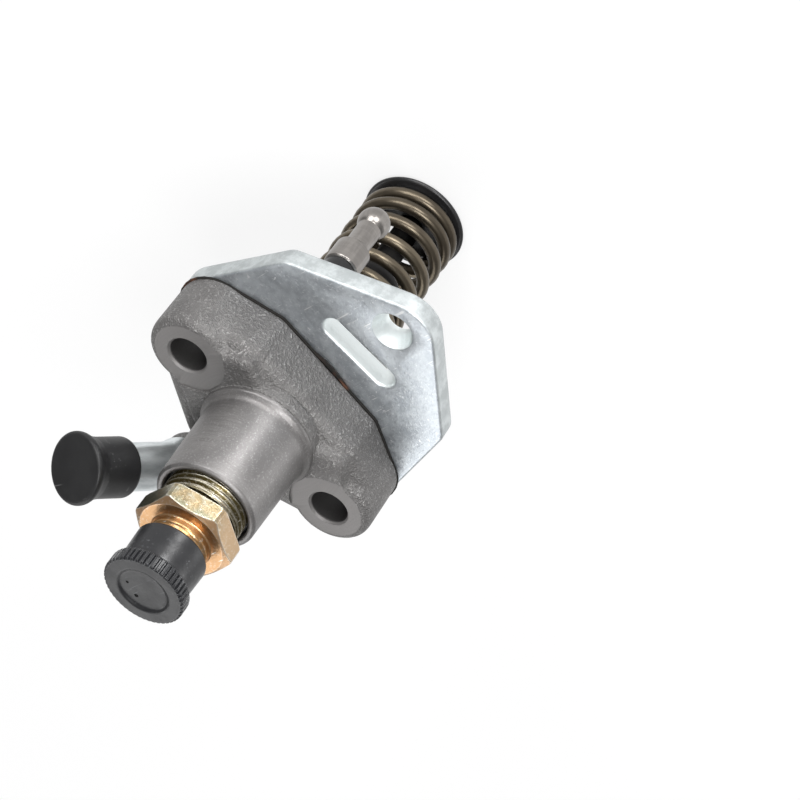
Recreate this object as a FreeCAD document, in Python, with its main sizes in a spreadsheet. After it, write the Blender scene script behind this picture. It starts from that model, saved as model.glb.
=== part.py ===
import FreeCAD, Part
import Sketcher
import math
import os
from FreeCAD import Placement, Rotation, Vector

# Fuel injection pump. The origin is on the plunger axis at the back of the
# mounting plate, +Z points at the delivery outlet and the two fixing holes
# lie on the X axis. All sizes are in millimetres.

os.makedirs("parts", exist_ok=True)
doc = FreeCAD.newDocument("fuel_injection_pump")
sheet = doc.addObject("Spreadsheet::Sheet", "Sizes")

SIZE = {
    # fits
    "running_gap": 0.04,
    "seat_gap": 0.05,
    "thread_gap": 0.05,
    # mounting plate
    "plate_thick": 5.0,
    "plate_foot_x": 4.2,
    "plate_foot_y": -21.2,
    "plate_tip_x": 32.3,
    "plate_tip_y": -5.4,
    "plate_shoulder_x": 24.5,
    "plate_shoulder_y": 24.4,
    "plate_peak_y": 45.1,
    "plate_foot_round": 5.0,
    "plate_tip_round": 8.8,
    "plate_shoulder_round": 4.5,
    "plate_peak_round": 8.0,
    "plate_edge_round": 0.7,
    "plate_hole_x": -1.2,
    "plate_hole_y": 34.3,
    "plate_hole_mouth": 4.45,
    "plate_hole_radius": 2.9,
    "plate_hole_land": 1.5,
    "slot_x": -0.3,
    "slot_y": 22.95,
    "slot_half_run": 7.0,
    "slot_radius": 2.45,
    "slot_turn": 5.0,
    # fixing holes
    "fixing_x": 21.73,
    "fixing_radius": 4.2,
    "fixing_break": 0.4,
    # casting
    "gasket_thick": 0.6,
    "gasket_edge": 0.25,
    "flange_top": 17.6,
    "flange_foot_x": 7.0,
    "flange_foot_y": -19.9,
    "flange_tip_x": 40.3,
    "flange_tip_y": 0.8,
    "flange_side_x": 14.4,
    "flange_side_y": 13.5,
    "flange_foot_round": 4.0,
    "flange_tip_round": 8.9,
    "flange_side_round": 2.5,
    "flange_edge_round": 3.0,
    "crown_tip_x": 20.5,
    "crown_tip_y": 5.5,
    "crown_back_x": 9.0,
    "crown_back_y": -13.0,
    "crown_front_x": 10.5,
    "crown_front_y": 12.0,
    "crown_foot": 16.6,
    "crown_top": 19.6,
    "crown_slope": 32.0,
    "boss_top": 19.2,
    "boss_radius": 8.95,
    "boss_edge_round": 1.8,
    "spot_radius": 8.8,
    "base_radius": 13.2,
    "base_rise": 20.4,
    "base_inner": 12.7,
    "neck_foot_radius": 11.5,
    "neck_foot": 23.0,
    "neck_radius": 11.1,
    "neck_top": 42.0,
    "neck_break": 0.6,
    "pilot_radius": 14.0,
    "web_bottom": -4.4,
    "skirt_inner": 11.6,
    "skirt_bottom": -13.9,
    "window_middle": 122.5,
    "window_half": 58.0,
    # bores of the casting
    "holder_recess_radius": 9.55,
    "holder_recess_floor": 38.4,
    "holder_thread_radius": 9.0,
    "holder_thread_floor": 28.2,
    "barrel_radius": 8.0,
    "barrel_ledge": 6.0,
    "gallery_radius": 10.2,
    "gallery_bottom": 9.5,
    "gallery_top": 16.5,
    "nose_radius": 6.0,
    "drill_radius": 1.6,
    # barrel, plunger and control sleeve
    "barrel_top": 22.0,
    "barrel_foot": -12.0,
    "plunger_radius": 3.75,
    "port_radius": 1.5,
    "port_level": 13.0,
    "barrel_ring_level": 7.6,
    "barrel_ring_wire": 0.8,
    "pin_radius": 1.0,
    "pin_place": 6.95,
    "pin_depth": 2.6,
    "plunger_head": 11.4,
    "plunger_groove": -1.5,
    "lug_bottom": -30.0,
    "lug_height": 4.0,
    "lug_half": 6.9,
    "lug_thick": 3.0,
    "stem_radius": 3.0,
    "foot_radius": 5.2,
    "foot_bottom": -56.0,
    "foot_thick": 2.0,
    "sleeve_radius": 7.6,
    "sleeve_neck": 7.0,
    "sleeve_collar": 9.2,
    "sleeve_collar_thick": 1.6,
    "sleeve_bottom": -31.6,
    "slot_top": -17.4,
    # control arm and ball pin
    "arm_top": -4.8,
    "arm_thick": 3.2,
    "arm_hub": 9.0,
    "arm_end_radius": 3.5,
    "ball_reach": 25.2,
    "ball_level": -23.9,
    "ball_radius": 3.5,
    "ball_neck_radius": 2.65,
    "ball_collar_radius": 3.85,
    "ball_collar_bottom": -14.6,
    "rivet_radius": 2.0,
    # plunger spring and its seats
    "spring_wire": 1.42,
    "spring_mean": 10.25,
    "spring_top": -16.0,
    "spring_pitch": 6.2,
    "spring_close": 2.9,
    "spring_start": -30.0,
    "closed_turns": 0.5,
    "easing_turns": 1.9,
    "seat_radius": 12.1,
    "seat_sink": 0.4,
    "seat_thick": 1.3,
    "seat_spigot": 8.65,
    "seat_entry": 3.15,
    "upper_bore": 7.75,
    # delivery valve
    "valve_seat_height": 4.2,
    "valve_nose_height": 4.4,
    "valve_nose_radius": 6.0,
    "valve_stem_radius": 3.0,
    "washer_thick": 1.0,
    "valve_spring_wire": 0.45,
    "valve_spring_mean": 2.9,
    "valve_spring_stand": 2.5,
    "valve_spring_length": 8.3,
    "valve_spring_pitch": 1.9,
    "flute_place": 3.6,
    "flute_radius": 1.7,
    "reducer_stand": 5.6,
    "reducer_hole": 0.7,
    "reducer_flange": 2.8,
    # delivery valve holder
    "holder_neck_radius": 8.3,
    "hex_stand": 4.6,
    "hex_height": 4.9,
    "hex_flats": 19.0,
    "hex_turn": 28.7,
    "hex_top_edge": 0.3,
    "hex_top_drop": 4.6,
    "hex_foot_edge": 0.8,
    "hex_foot_drop": 4.2,
    "chamber_radius": 4.6,
    "outlet_root": 6.0,
    "outlet_thread": 6.45,
    "outlet_ring_radius": 6.5,
    "outlet_ring_height": 1.9,
    "outlet_length": 10.9,
    "outlet_hole": 1.0,
    "cone_mouth": 3.6,
    # outlet cap
    "cap_reach": 7.5,
    "cap_crown": 3.9,
    "cap_skirt_radius": 7.7,
    "cap_waist_radius": 7.5,
    "cap_disc_radius": 8.65,
    "cap_disc_thick": 3.3,
    "cap_dish_radius": 5.1,
    "cap_dish_depth": 1.0,
    "rib_count": 48,
    "rib_depth": 0.45,
    "rib_gap": 0.6,
    # inlet pipe, measured from the point where its axis leaves the casting
    "inlet_x": -3.9,
    "inlet_y": -17.6,
    "inlet_z": 26.0,
    "inlet_lean": 39.8,
    "inlet_turn": 170.0,
    "inlet_boss_radius": 6.9,
    "inlet_boss_depth": 15.0,
    "inlet_foot_x": 3.6,
    "inlet_foot_y": -16.4,
    "inlet_foot_rise": 10.0,
    "inlet_socket": 4.0,
    "pipe_radius": 5.0,
    "pipe_bore": 3.6,
    "pipe_collar_radius": 5.9,
    "pipe_collar_top": 1.6,
    "pipe_flare_top": 4.0,
    "pipe_end": 26.6,
    "plug_reach": 10.6,
    "plug_crown": 1.9,
    "cap_body_radius": 6.25,
    "cap_rim_radius": 7.45,
    "cap_rim_thick": 1.1,
}

# sizes that follow from the ones above
FOLLOWS = {
    "lug_side": "lug_thick / 2",
    "foot_top": "foot_bottom + foot_thick",
    "seat_bottom": "foot_bottom + seat_sink",
    "spring_bottom": "seat_bottom + seat_thick",
    "valve_seat_top": "barrel_top + valve_seat_height",
    "valve_nose_top": "valve_seat_top + valve_nose_height",
    "valve_spring_bottom": "valve_nose_top + valve_spring_stand",
    "valve_spring_top": "valve_spring_bottom + valve_spring_length",
    "reducer_top": "valve_spring_top + reducer_flange",
    "hex_bottom": "neck_top + hex_stand",
    "hex_top": "hex_bottom + hex_height",
    "hex_half_flat": "hex_flats / 2",
    "hex_top_radius": "hex_flats / 2 - hex_top_edge",
    "hex_foot_radius": "hex_flats / 2 + hex_foot_edge",
    "hex_reach": "hex_flats / sqrt(3)",
    "hex_half_reach": "hex_reach / 2",
    "outlet_ring_top": "hex_top + outlet_ring_height",
    "outlet_top": "hex_top + outlet_length",
    "cap_open": "outlet_top - cap_reach",
    "cap_closed": "outlet_top + cap_crown",
    "cap_disc_bottom": "cap_closed - cap_disc_thick",
    "rib_mouth_side": "rib_gap / 2",
    "rib_floor_side": "rib_gap / 3",
    "cap_start": "pipe_end - plug_reach",
    "cap_end": "pipe_end + plug_crown",
    "cap_rim_start": "cap_end - cap_rim_thick",
    "window_reach": "pilot_radius + 8",
    "window_side_x": "window_reach * cos(window_half)",
    "window_side_y": "window_reach * sin(window_half)",
    "window_far": "1.6 * window_reach",
    "arm_slope": "(arm_hub - arm_end_radius) / ball_reach",
    "arm_hub_x": "arm_hub * arm_slope",
    "arm_hub_y": "arm_hub * sqrt(1 - arm_slope ^ 2)",
    "arm_end_x": "ball_reach + arm_end_radius * arm_slope",
    "arm_end_y": "arm_end_radius * sqrt(1 - arm_slope ^ 2)",
    "ball_x": "ball_reach * cos(window_middle)",
    "ball_y": "ball_reach * sin(window_middle)",
}

row = 1
for name, content in list(SIZE.items()) + list(FOLLOWS.items()):
    sheet.set("A%d" % row, name)
    sheet.set("B%d" % row, "=" + content if name in FOLLOWS else str(content))
    sheet.setAlias("B%d" % row, name)
    row += 1
doc.recompute()
value = {name: float(sheet.get(name)) for name in list(SIZE) + list(FOLLOWS)}


def now(text):
    """The present value of a sum of named sizes."""
    total = 0.0
    sign = 1
    for word in text.split():
        if word in ("+", "-"):
            sign = 1 if word == "+" else -1
            continue
        negative = word.startswith("-")
        word = word.lstrip("-")
        number = value[word] if word in value else float(word)
        total += sign * (-number if negative else number)
        sign = 1
    return total


def bound(text):
    """The same sum as an expression on the sheet."""
    words = []
    for word in text.split():
        bare = word.lstrip("-")
        words.append(word.replace(bare, "Sizes." + bare) if bare in value else word)
    return " ".join(words)


def plane(body, role):
    return [part for part in body.Origin.OriginFeatures if part.Role == role][0]


def new_sketch(body, role, level="", turn=""):
    sketch = body.newObject("Sketcher::SketchObject", "Sketch")
    sketch.AttachmentSupport = [(plane(body, role), "")]
    sketch.MapMode = "FlatFace"
    if level:
        sketch.setExpression("AttachmentOffset.Base.z", bound(level))
    if turn:
        sketch.setExpression("AttachmentOffset.Rotation.Angle", bound(turn))
    return sketch


def outline(sketch, points):
    """Straight lines through points, each held to its named sizes."""
    count = len(points)
    spots = [Vector(now(x), now(y), 0) for x, y in points]
    for i in range(count):
        sketch.addGeometry(Part.LineSegment(spots[i], spots[(i + 1) % count]))
    for i in range(count):
        join(sketch, i, (i + 1) % count)
    for i, (x, y) in enumerate(points):
        hold(sketch, i, 1, x, y)
    return sketch


def join(sketch, first, second):
    sketch.addConstraint(Sketcher.Constraint("Coincident", first, 2, second, 1))


def hold(sketch, geometry, end, x="", y=""):
    """One point of a sketch set out from its origin."""
    for kind, text, axis in (("DistanceX", x, -2), ("DistanceY", y, -1)):
        if not text:
            continue
        if abs(now(text)) < 1e-9:
            sketch.addConstraint(Sketcher.Constraint("PointOnObject", geometry, end, axis))
            continue
        number = sketch.addConstraint(
            Sketcher.Constraint(kind, -1, 1, geometry, end, now(text)))
        sketch.setExpression("Constraints[%d]" % number, bound(text))


def round_bar(sketch, near, far):
    """A bar along X with an arc at each end: centre, corner x and corner y of each."""
    near_centre, near_x, near_y = near
    far_centre, far_x, far_y = far
    a = Vector(now(near_x), -now(near_y), 0)
    b = Vector(now(far_x), -now(far_y), 0)
    c = Vector(now(far_x), now(far_y), 0)
    d = Vector(now(near_x), now(near_y), 0)
    far_tip = now(far_centre) + math.hypot(now(far_x) - now(far_centre), now(far_y))
    near_tip = now(near_centre) - math.hypot(now(near_x) - now(near_centre), now(near_y))
    sketch.addGeometry(Part.LineSegment(a, b))
    sketch.addGeometry(Part.Arc(b, Vector(far_tip, 0, 0), c))
    sketch.addGeometry(Part.LineSegment(c, d))
    sketch.addGeometry(Part.Arc(d, Vector(near_tip, 0, 0), a))
    for i in range(4):
        join(sketch, i, (i + 1) % 4)
    hold(sketch, 0, 1, near_x, "-" + near_y)
    hold(sketch, 0, 2, far_x, "-" + far_y)
    hold(sketch, 2, 1, far_x, far_y)
    hold(sketch, 2, 2, near_x, near_y)
    hold(sketch, 1, 3, x=far_centre)
    hold(sketch, 3, 3, x=near_centre)
    return sketch


def circles(sketch, rounds):
    for x, y, radius in rounds:
        centre = Vector(now(x), now(y), 0)
        number = sketch.addGeometry(Part.Circle(centre, Vector(0, 0, 1), now(radius)))
        hold(sketch, number, 3, x, y)
        tie = sketch.addConstraint(Sketcher.Constraint("Radius", number, now(radius)))
        sketch.setExpression("Constraints[%d]" % tie, bound(radius))
    return sketch


def new_body(label):
    body = doc.addObject("PartDesign::Body", label)
    body.Label = label
    return body


def pad(body, sketch, length):
    step = body.newObject("PartDesign::Pad", "Pad")
    step.Profile = sketch
    step.Length = now(length)
    step.setExpression("Length", bound(length))
    doc.recompute()
    return step


def pocket(body, sketch, length, upward=False):
    """A pocket that must take material away."""
    before = body.Shape.Volume
    step = body.newObject("PartDesign::Pocket", "Pocket")
    step.Profile = sketch
    step.Length = now(length)
    step.Reversed = upward
    step.setExpression("Length", bound(length))
    doc.recompute()
    if not body.Shape.Volume < before - 1e-3:
        raise RuntimeError("a pocket of %s cuts nothing" % body.Label)
    return step


def spin(body, points, cut=False):
    """A profile of radii and heights turned about the body's Z axis."""
    before = body.Shape.Volume if cut else 0
    sketch = outline(new_sketch(body, "XZ_Plane"), points)
    kind = "PartDesign::Groove" if cut else "PartDesign::Revolution"
    step = body.newObject(kind, "Turn")
    step.Profile = sketch
    step.ReferenceAxis = (sketch, ["V_Axis"])
    step.Angle = 360
    doc.recompute()
    if cut and not body.Shape.Volume < before - 1e-3:
        raise RuntimeError("a groove of %s cuts nothing" % body.Label)
    return step


def turned(label, points):
    body = new_body(label)
    spin(body, points)
    return body


def dress(body, kind, edges, size):
    """A fillet or chamfer on the edges of the newest feature."""
    before = body.Tip
    step = body.newObject("PartDesign::" + kind, kind)
    step.Base = (before, edges)
    field = "Radius" if kind == "Fillet" else "Size"
    setattr(step, field, now(size))
    step.setExpression(field, bound(size))
    doc.recompute()
    return step


def edges_where(shape, test):
    names = []
    for number, edge in enumerate(shape.Edges, 1):
        if test(edge):
            names.append("Edge%d" % number)
    return names


def upright_at(shape, x, y):
    """The upright edges over one corner of an outline."""
    def test(edge):
        box = edge.BoundBox
        flat = box.XLength < 1e-6 and box.YLength < 1e-6
        return flat and math.hypot(box.XMin - x, box.YMin - y) < 1e-3
    return edges_where(shape, test)


def at_level(shape, level):
    """The edges that lie flat at one height."""
    def test(edge):
        return abs(edge.BoundBox.ZMin - level) < 1e-6 and abs(edge.BoundBox.ZMax - level) < 1e-6
    return edges_where(shape, test)


def round_corners(body, corners):
    for x, y, radius in corners:
        names = []
        for side in (1, -1):
            names += upright_at(body.Shape, side * now(x), now(y))
        dress(body, "Fillet", sorted(set(names)), radius)


def coil(mean, wire, bottom, top, pitch, close, start):
    """A right-handed compression coil with closed ends, as one solid."""
    first = bottom + wire
    last = top - wire
    closed = now("closed_turns")
    easing = now("easing_turns")
    turns = (last - first + (2 * closed + easing) * (pitch - close)) / pitch
    steps = int(turns * 20)
    heights = [0.0]
    for i in range(steps):
        turn = (i + 0.5) / steps * turns
        share = (min(turn, turns - turn) - closed) / easing
        share = min(max(share, 0), 1)
        heights.append(heights[-1] + close + (pitch - close) * share)
    scale = (last - first) / heights[-1]
    path = []
    for i, height in enumerate(heights):
        angle = math.radians(start) + 2 * math.pi * turns * i / steps
        path.append(Vector(mean * math.cos(angle), mean * math.sin(angle), first + height * scale))
    curve = Part.BSplineCurve()
    curve.interpolate(path)
    rail = Part.Wire(curve.toShape())
    section = Part.Wire(Part.makeCircle(wire, path[0], curve.tangent(curve.FirstParameter)[0]))
    return rail.makePipeShell([section], True, True)


# mounting plate with its slot and third hole
plate = new_body("flange_plate")
rim = outline(new_sketch(plate, "XY_Plane"), [
    ("-plate_foot_x", "plate_foot_y"),
    ("plate_foot_x", "plate_foot_y"),
    ("plate_tip_x", "plate_tip_y"),
    ("plate_shoulder_x", "plate_shoulder_y"),
    ("0", "plate_peak_y"),
    ("-plate_shoulder_x", "plate_shoulder_y"),
    ("-plate_tip_x", "plate_tip_y"),
])
pad(plate, rim, "plate_thick")
round_corners(plate, [
    ("plate_foot_x", "plate_foot_y", "plate_foot_round"),
    ("plate_tip_x", "plate_tip_y", "plate_tip_round"),
    ("plate_shoulder_x", "plate_shoulder_y", "plate_shoulder_round"),
    ("0", "plate_peak_y", "plate_peak_round"),
])
flat_edges = at_level(plate.Shape, 0) + at_level(plate.Shape, SIZE["plate_thick"])
dress(plate, "Fillet", flat_edges, "plate_edge_round")
holes = circles(new_sketch(plate, "XY_Plane", "plate_thick"), [
    ("fixing_x", "0", "fixing_radius"),
    ("-fixing_x", "0", "fixing_radius"),
    ("plate_hole_x", "plate_hole_y", "plate_hole_radius"),
    ("0", "0", "pilot_radius + seat_gap"),
])
pocket(plate, holes, "plate_thick")
sink = plate.newObject("PartDesign::SubtractiveCone", "Countersink")
sink.Radius1 = SIZE["plate_hole_radius"]
sink.Radius2 = SIZE["plate_hole_mouth"]
sink.Height = SIZE["plate_thick"] - SIZE["plate_hole_land"]
sink.setExpression("Radius1", "Sizes.plate_hole_radius")
sink.setExpression("Radius2", "Sizes.plate_hole_mouth")
sink.setExpression("Height", "Sizes.plate_thick - Sizes.plate_hole_land")
sink.AttachmentSupport = [(plane(plate, "XY_Plane"), "")]
sink.MapMode = "FlatFace"
sink.setExpression("AttachmentOffset.Base.x", "Sizes.plate_hole_x")
sink.setExpression("AttachmentOffset.Base.y", "Sizes.plate_hole_y")
sink.setExpression("AttachmentOffset.Base.z", "Sizes.plate_hole_land")
doc.recompute()
slot = new_sketch(plate, "XY_Plane", "plate_thick", turn="slot_turn")
slot.setExpression("AttachmentOffset.Base.x", "Sizes.slot_x")
slot.setExpression("AttachmentOffset.Base.y", "Sizes.slot_y")
round_bar(
    slot,
    ("-slot_half_run", "-slot_half_run", "slot_radius"),
    ("slot_half_run", "slot_half_run", "slot_radius"))
pocket(plate, slot, "plate_thick")
mouths = edges_where(plate.Shape, lambda edge: (
    abs(edge.BoundBox.ZMin - now("plate_thick")) < 1e-6
    and abs(edge.BoundBox.ZMax - now("plate_thick")) < 1e-6
    and abs(edge.BoundBox.Center.y - now("slot_y")) < 4
    and edge.BoundBox.XLength < 22))
dress(plate, "Fillet", mouths, "plate_edge_round")

# casting: flange, bosses, turned neck and the pilot below the plate
FLANGE = [
    ("-flange_foot_x", "flange_foot_y"),
    ("flange_foot_x", "flange_foot_y"),
    ("flange_tip_x", "flange_tip_y"),
    ("flange_side_x", "flange_side_y"),
    ("-flange_side_x", "flange_side_y"),
    ("-flange_tip_x", "flange_tip_y"),
]
FLANGE_CORNERS = [
    ("flange_foot_x", "flange_foot_y", "flange_foot_round"),
    ("flange_tip_x", "flange_tip_y", "flange_tip_round"),
    ("flange_side_x", "flange_side_y", "flange_side_round"),
]
casting = new_body("pump_body")
rim = outline(new_sketch(casting, "XY_Plane", "plate_thick + gasket_thick"), FLANGE)
pad(casting, rim, "flange_top - plate_thick - gasket_thick")
round_corners(casting, FLANGE_CORNERS)
dress(casting, "Fillet", at_level(casting.Shape, SIZE["flange_top"]), "flange_edge_round")
bosses = circles(new_sketch(casting, "XY_Plane", "plate_thick + gasket_thick"), [
    ("fixing_x", "0", "boss_radius"),
    ("-fixing_x", "0", "boss_radius"),
])
pad(casting, bosses, "boss_top - plate_thick - gasket_thick")
dress(casting, "Fillet", at_level(casting.Shape, SIZE["boss_top"]), "boss_edge_round")
crown = outline(new_sketch(casting, "XY_Plane", "crown_foot"), [
    ("-crown_back_x", "crown_back_y"),
    ("crown_back_x", "crown_back_y"),
    ("crown_tip_x", "-crown_tip_y"),
    ("crown_tip_x", "crown_tip_y"),
    ("crown_front_x", "crown_front_y"),
    ("-crown_front_x", "crown_front_y"),
    ("-crown_tip_x", "crown_tip_y"),
    ("-crown_tip_x", "-crown_tip_y"),
])
rise = pad(casting, crown, "crown_top - crown_foot")
rise.TaperAngle = -SIZE["crown_slope"]
rise.setExpression("TaperAngle", "-Sizes.crown_slope")
doc.recompute()
spin(casting, [
    ("0", "web_bottom"),
    ("pilot_radius", "web_bottom"),
    ("pilot_radius", "plate_thick + gasket_thick"),
    ("base_radius", "plate_thick + gasket_thick"),
    ("base_radius", "base_rise - 0.9"),
    ("base_radius - 0.25", "base_rise - 0.9"),
    ("base_inner", "base_rise"),
    ("base_inner - 0.3", "base_rise + 0.6"),
    ("neck_foot_radius + 0.35", "base_rise + 1.1"),
    ("neck_foot_radius + 0.1", "base_rise + 1.7"),
    ("neck_foot_radius", "neck_foot"),
    ("neck_radius", "neck_top - neck_break"),
    ("neck_radius - neck_break", "neck_top"),
    ("0", "neck_top"),
])
ring = circles(new_sketch(casting, "XY_Plane", "skirt_bottom"), [
    ("0", "0", "pilot_radius"),
    ("0", "0", "skirt_inner"),
])
pad(casting, ring, "web_bottom - skirt_bottom")

# inlet boss, a leaning lump on the far side of the neck
lean = Rotation(Vector(0, 0, 1), SIZE["inlet_turn"]).multiply(
    Rotation(Vector(0, 1, 0), SIZE["inlet_lean"]))
along = lean.multVec(Vector(0, 0, 1))
root = Vector(now("inlet_x"), now("inlet_y"), now("inlet_z"))
lump = casting.newObject("PartDesign::AdditiveCylinder", "Lump")
lump.Radius = SIZE["inlet_boss_radius"]
lump.Height = SIZE["inlet_boss_depth"]
lump.setExpression("Radius", "Sizes.inlet_boss_radius")
lump.setExpression("Height", "Sizes.inlet_boss_depth")
lump.AttachmentSupport = [(plane(casting, "XY_Plane"), "")]
lump.MapMode = "FlatFace"
lump.AttachmentOffset = Placement(root - along * SIZE["inlet_boss_depth"], lean)
doc.recompute()
foot = circles(new_sketch(casting, "XY_Plane", "plate_thick + gasket_thick"), [
    ("inlet_foot_x", "inlet_foot_y", "inlet_boss_radius"),
])
pad(casting, foot, "inlet_foot_rise")

# bores
spin(casting, [
    ("0", "skirt_bottom - 1"),
    ("nose_radius + seat_gap", "skirt_bottom - 1"),
    ("nose_radius + seat_gap", "barrel_ledge"),
    ("barrel_radius + seat_gap", "barrel_ledge"),
    ("barrel_radius + seat_gap", "gallery_bottom"),
    ("gallery_radius", "gallery_bottom"),
    ("gallery_radius", "gallery_top"),
    ("barrel_radius + seat_gap", "gallery_top"),
    ("barrel_radius + seat_gap", "holder_thread_floor"),
    ("holder_thread_radius", "holder_thread_floor"),
    ("holder_thread_radius", "holder_recess_floor"),
    ("holder_recess_radius", "holder_recess_floor"),
    ("holder_recess_radius", "neck_top + 1"),
    ("0", "neck_top + 1"),
], cut=True)
faces = circles(new_sketch(casting, "XY_Plane", "boss_top + 4"), [
    ("fixing_x", "0", "spot_radius"),
    ("-fixing_x", "0", "spot_radius"),
])
pocket(casting, faces, "4")
holes = circles(new_sketch(casting, "XY_Plane", "boss_top"), [
    ("fixing_x", "0", "fixing_radius"),
    ("-fixing_x", "0", "fixing_radius"),
])
pocket(casting, holes, "boss_top")
mouths = edges_where(casting.Shape, lambda edge: (
    abs(edge.BoundBox.ZMax - now("boss_top")) < 1e-6
    and abs(edge.BoundBox.XLength - 2 * now("fixing_radius")) < 1e-3))
dress(casting, "Chamfer", mouths, "fixing_break")
pin_hole = circles(new_sketch(casting, "XY_Plane", "barrel_ledge"), [
    ("pin_place", "0", "pin_radius"),
])
pocket(casting, pin_hole, "pin_depth")

# window of the skirt that the control arm swings in
window = outline(new_sketch(casting, "XY_Plane", "web_bottom", turn="window_middle"), [
    ("0", "0"),
    ("window_side_x", "-window_side_y"),
    ("window_far", "0"),
    ("window_side_x", "window_side_y"),
])
pocket(casting, window, "web_bottom - skirt_bottom + 1")

# socket of the inlet pipe and the drilling from it to the fuel gallery
socket = casting.newObject("PartDesign::SubtractiveCylinder", "Socket")
socket.Height = SIZE["inlet_socket"] + 5
socket.setExpression("Radius", "Sizes.pipe_radius + Sizes.seat_gap")
socket.setExpression("Height", "Sizes.inlet_socket + 5")
socket.AttachmentSupport = [(plane(casting, "XY_Plane"), "")]
socket.MapMode = "FlatFace"
socket.AttachmentOffset = Placement(root - along * SIZE["inlet_socket"], lean)
doc.recompute()
start = root - along * (SIZE["inlet_socket"] - 0.5)
goal = Vector(0, -now("gallery_radius") + 0.6, now("port_level"))
drill = casting.newObject("PartDesign::SubtractiveCylinder", "Drill")
drill.setExpression("Radius", "Sizes.drill_radius")
drill.Height = (goal - start).Length
drill.AttachmentSupport = [(plane(casting, "XY_Plane"), "")]
drill.MapMode = "FlatFace"
drill.AttachmentOffset = Placement(start, Rotation(Vector(0, 0, 1), goal - start))
doc.recompute()

# thin gasket between the plate and the casting
gasket = new_body("flange_gasket")
rim = outline(new_sketch(gasket, "XY_Plane", "plate_thick"), [
    ("-flange_foot_x - gasket_edge", "flange_foot_y - gasket_edge"),
    ("flange_foot_x + gasket_edge", "flange_foot_y - gasket_edge"),
    ("flange_tip_x + gasket_edge", "flange_tip_y"),
    ("flange_side_x", "flange_side_y + gasket_edge"),
    ("-flange_side_x", "flange_side_y + gasket_edge"),
    ("-flange_tip_x - gasket_edge", "flange_tip_y"),
])
pad(gasket, rim, "gasket_thick")
for x, y, radius in [
    ("flange_foot_x + gasket_edge", "flange_foot_y - gasket_edge", "flange_foot_round"),
    ("flange_tip_x + gasket_edge", "flange_tip_y", "flange_tip_round"),
    ("flange_side_x", "flange_side_y + gasket_edge", "flange_side_round"),
]:
    names = upright_at(gasket.Shape, now(x), now(y)) + upright_at(gasket.Shape, -now(x), now(y))
    dress(gasket, "Fillet", names, radius)
holes = circles(new_sketch(gasket, "XY_Plane", "plate_thick + gasket_thick"), [
    ("fixing_x", "0", "fixing_radius"),
    ("-fixing_x", "0", "fixing_radius"),
    ("0", "0", "pilot_radius + seat_gap"),
])
pocket(gasket, holes, "gasket_thick")

# plunger barrel
barrel = turned("plunger_barrel", [
    ("plunger_radius + running_gap", "barrel_foot"),
    ("nose_radius - 0.4", "barrel_foot"),
    ("nose_radius", "barrel_foot + 0.4"),
    ("nose_radius", "barrel_ledge"),
    ("barrel_radius", "barrel_ledge"),
    ("barrel_radius", "barrel_ring_level - barrel_ring_wire"),
    ("barrel_radius - 1.3", "barrel_ring_level - barrel_ring_wire"),
    ("barrel_radius - 1.3", "barrel_ring_level + barrel_ring_wire"),
    ("barrel_radius", "barrel_ring_level + barrel_ring_wire"),
    ("barrel_radius", "barrel_top - 0.4"),
    ("barrel_radius - 0.4", "barrel_top"),
    ("plunger_radius + running_gap", "barrel_top"),
])
port = circles(new_sketch(barrel, "YZ_Plane"), [("0", "port_level", "port_radius")])
ports = pocket(barrel, port, "20")
ports.Midplane = True
doc.recompute()
notch = circles(new_sketch(barrel, "XY_Plane", "barrel_ledge"), [
    ("pin_place", "0", "pin_radius + running_gap"),
])
pocket(barrel, notch, "0.75", upward=True)

# rubber ring in the barrel's groove, and the pin that sets the barrel's angle
ring = doc.addObject("Part::Torus", "barrel_ring")
ring.Label = "barrel_ring"
ring.setExpression("Radius1", "Sizes.barrel_radius + Sizes.seat_gap - 0.65")
ring.setExpression("Radius2", "0.65")
ring.setExpression("Placement.Base.z", "Sizes.barrel_ring_level")
peg = doc.addObject("Part::Cylinder", "barrel_pin")
peg.Label = "barrel_pin"
peg.setExpression("Radius", "Sizes.pin_radius")
peg.setExpression("Height", "Sizes.pin_depth + 0.7")
peg.setExpression("Placement.Base.x", "Sizes.pin_place")
peg.setExpression("Placement.Base.z", "Sizes.barrel_ledge - Sizes.pin_depth")

# plunger with its control edge, cross lug and foot
plunger = turned("plunger", [
    ("0", "foot_bottom"),
    ("foot_radius - 0.5", "foot_bottom"),
    ("foot_radius", "foot_bottom + 0.5"),
    ("foot_radius", "foot_top"),
    ("stem_radius", "foot_top"),
    ("stem_radius", "lug_bottom"),
    ("plunger_radius", "lug_bottom"),
    ("plunger_radius", "plunger_groove"),
    ("plunger_radius - 0.5", "plunger_groove + 0.5"),
    ("plunger_radius - 0.5", "plunger_groove + 2.5"),
    ("plunger_radius", "plunger_groove + 3.0"),
    ("plunger_radius", "plunger_head - 0.2"),
    ("plunger_radius - 0.2", "plunger_head"),
    ("0", "plunger_head"),
])
lug = outline(new_sketch(plunger, "XY_Plane", "lug_bottom"), [
    ("-lug_half", "-lug_side"),
    ("lug_half", "-lug_side"),
    ("lug_half", "lug_side"),
    ("-lug_half", "lug_side"),
])
pad(plunger, lug, "lug_height")
edge = outline(new_sketch(plunger, "XZ_Plane", "plunger_radius - 1.1"), [
    ("-0.7", "plunger_groove + 1.0"),
    ("2.4", "plunger_groove + 1.0"),
    ("2.4", "plunger_head - 5.5"),
    ("0.7", "plunger_head - 3.4"),
    ("0.7", "plunger_head + 1"),
    ("-0.7", "plunger_head + 1"),
])
pocket(plunger, edge, "4", upward=True)

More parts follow.
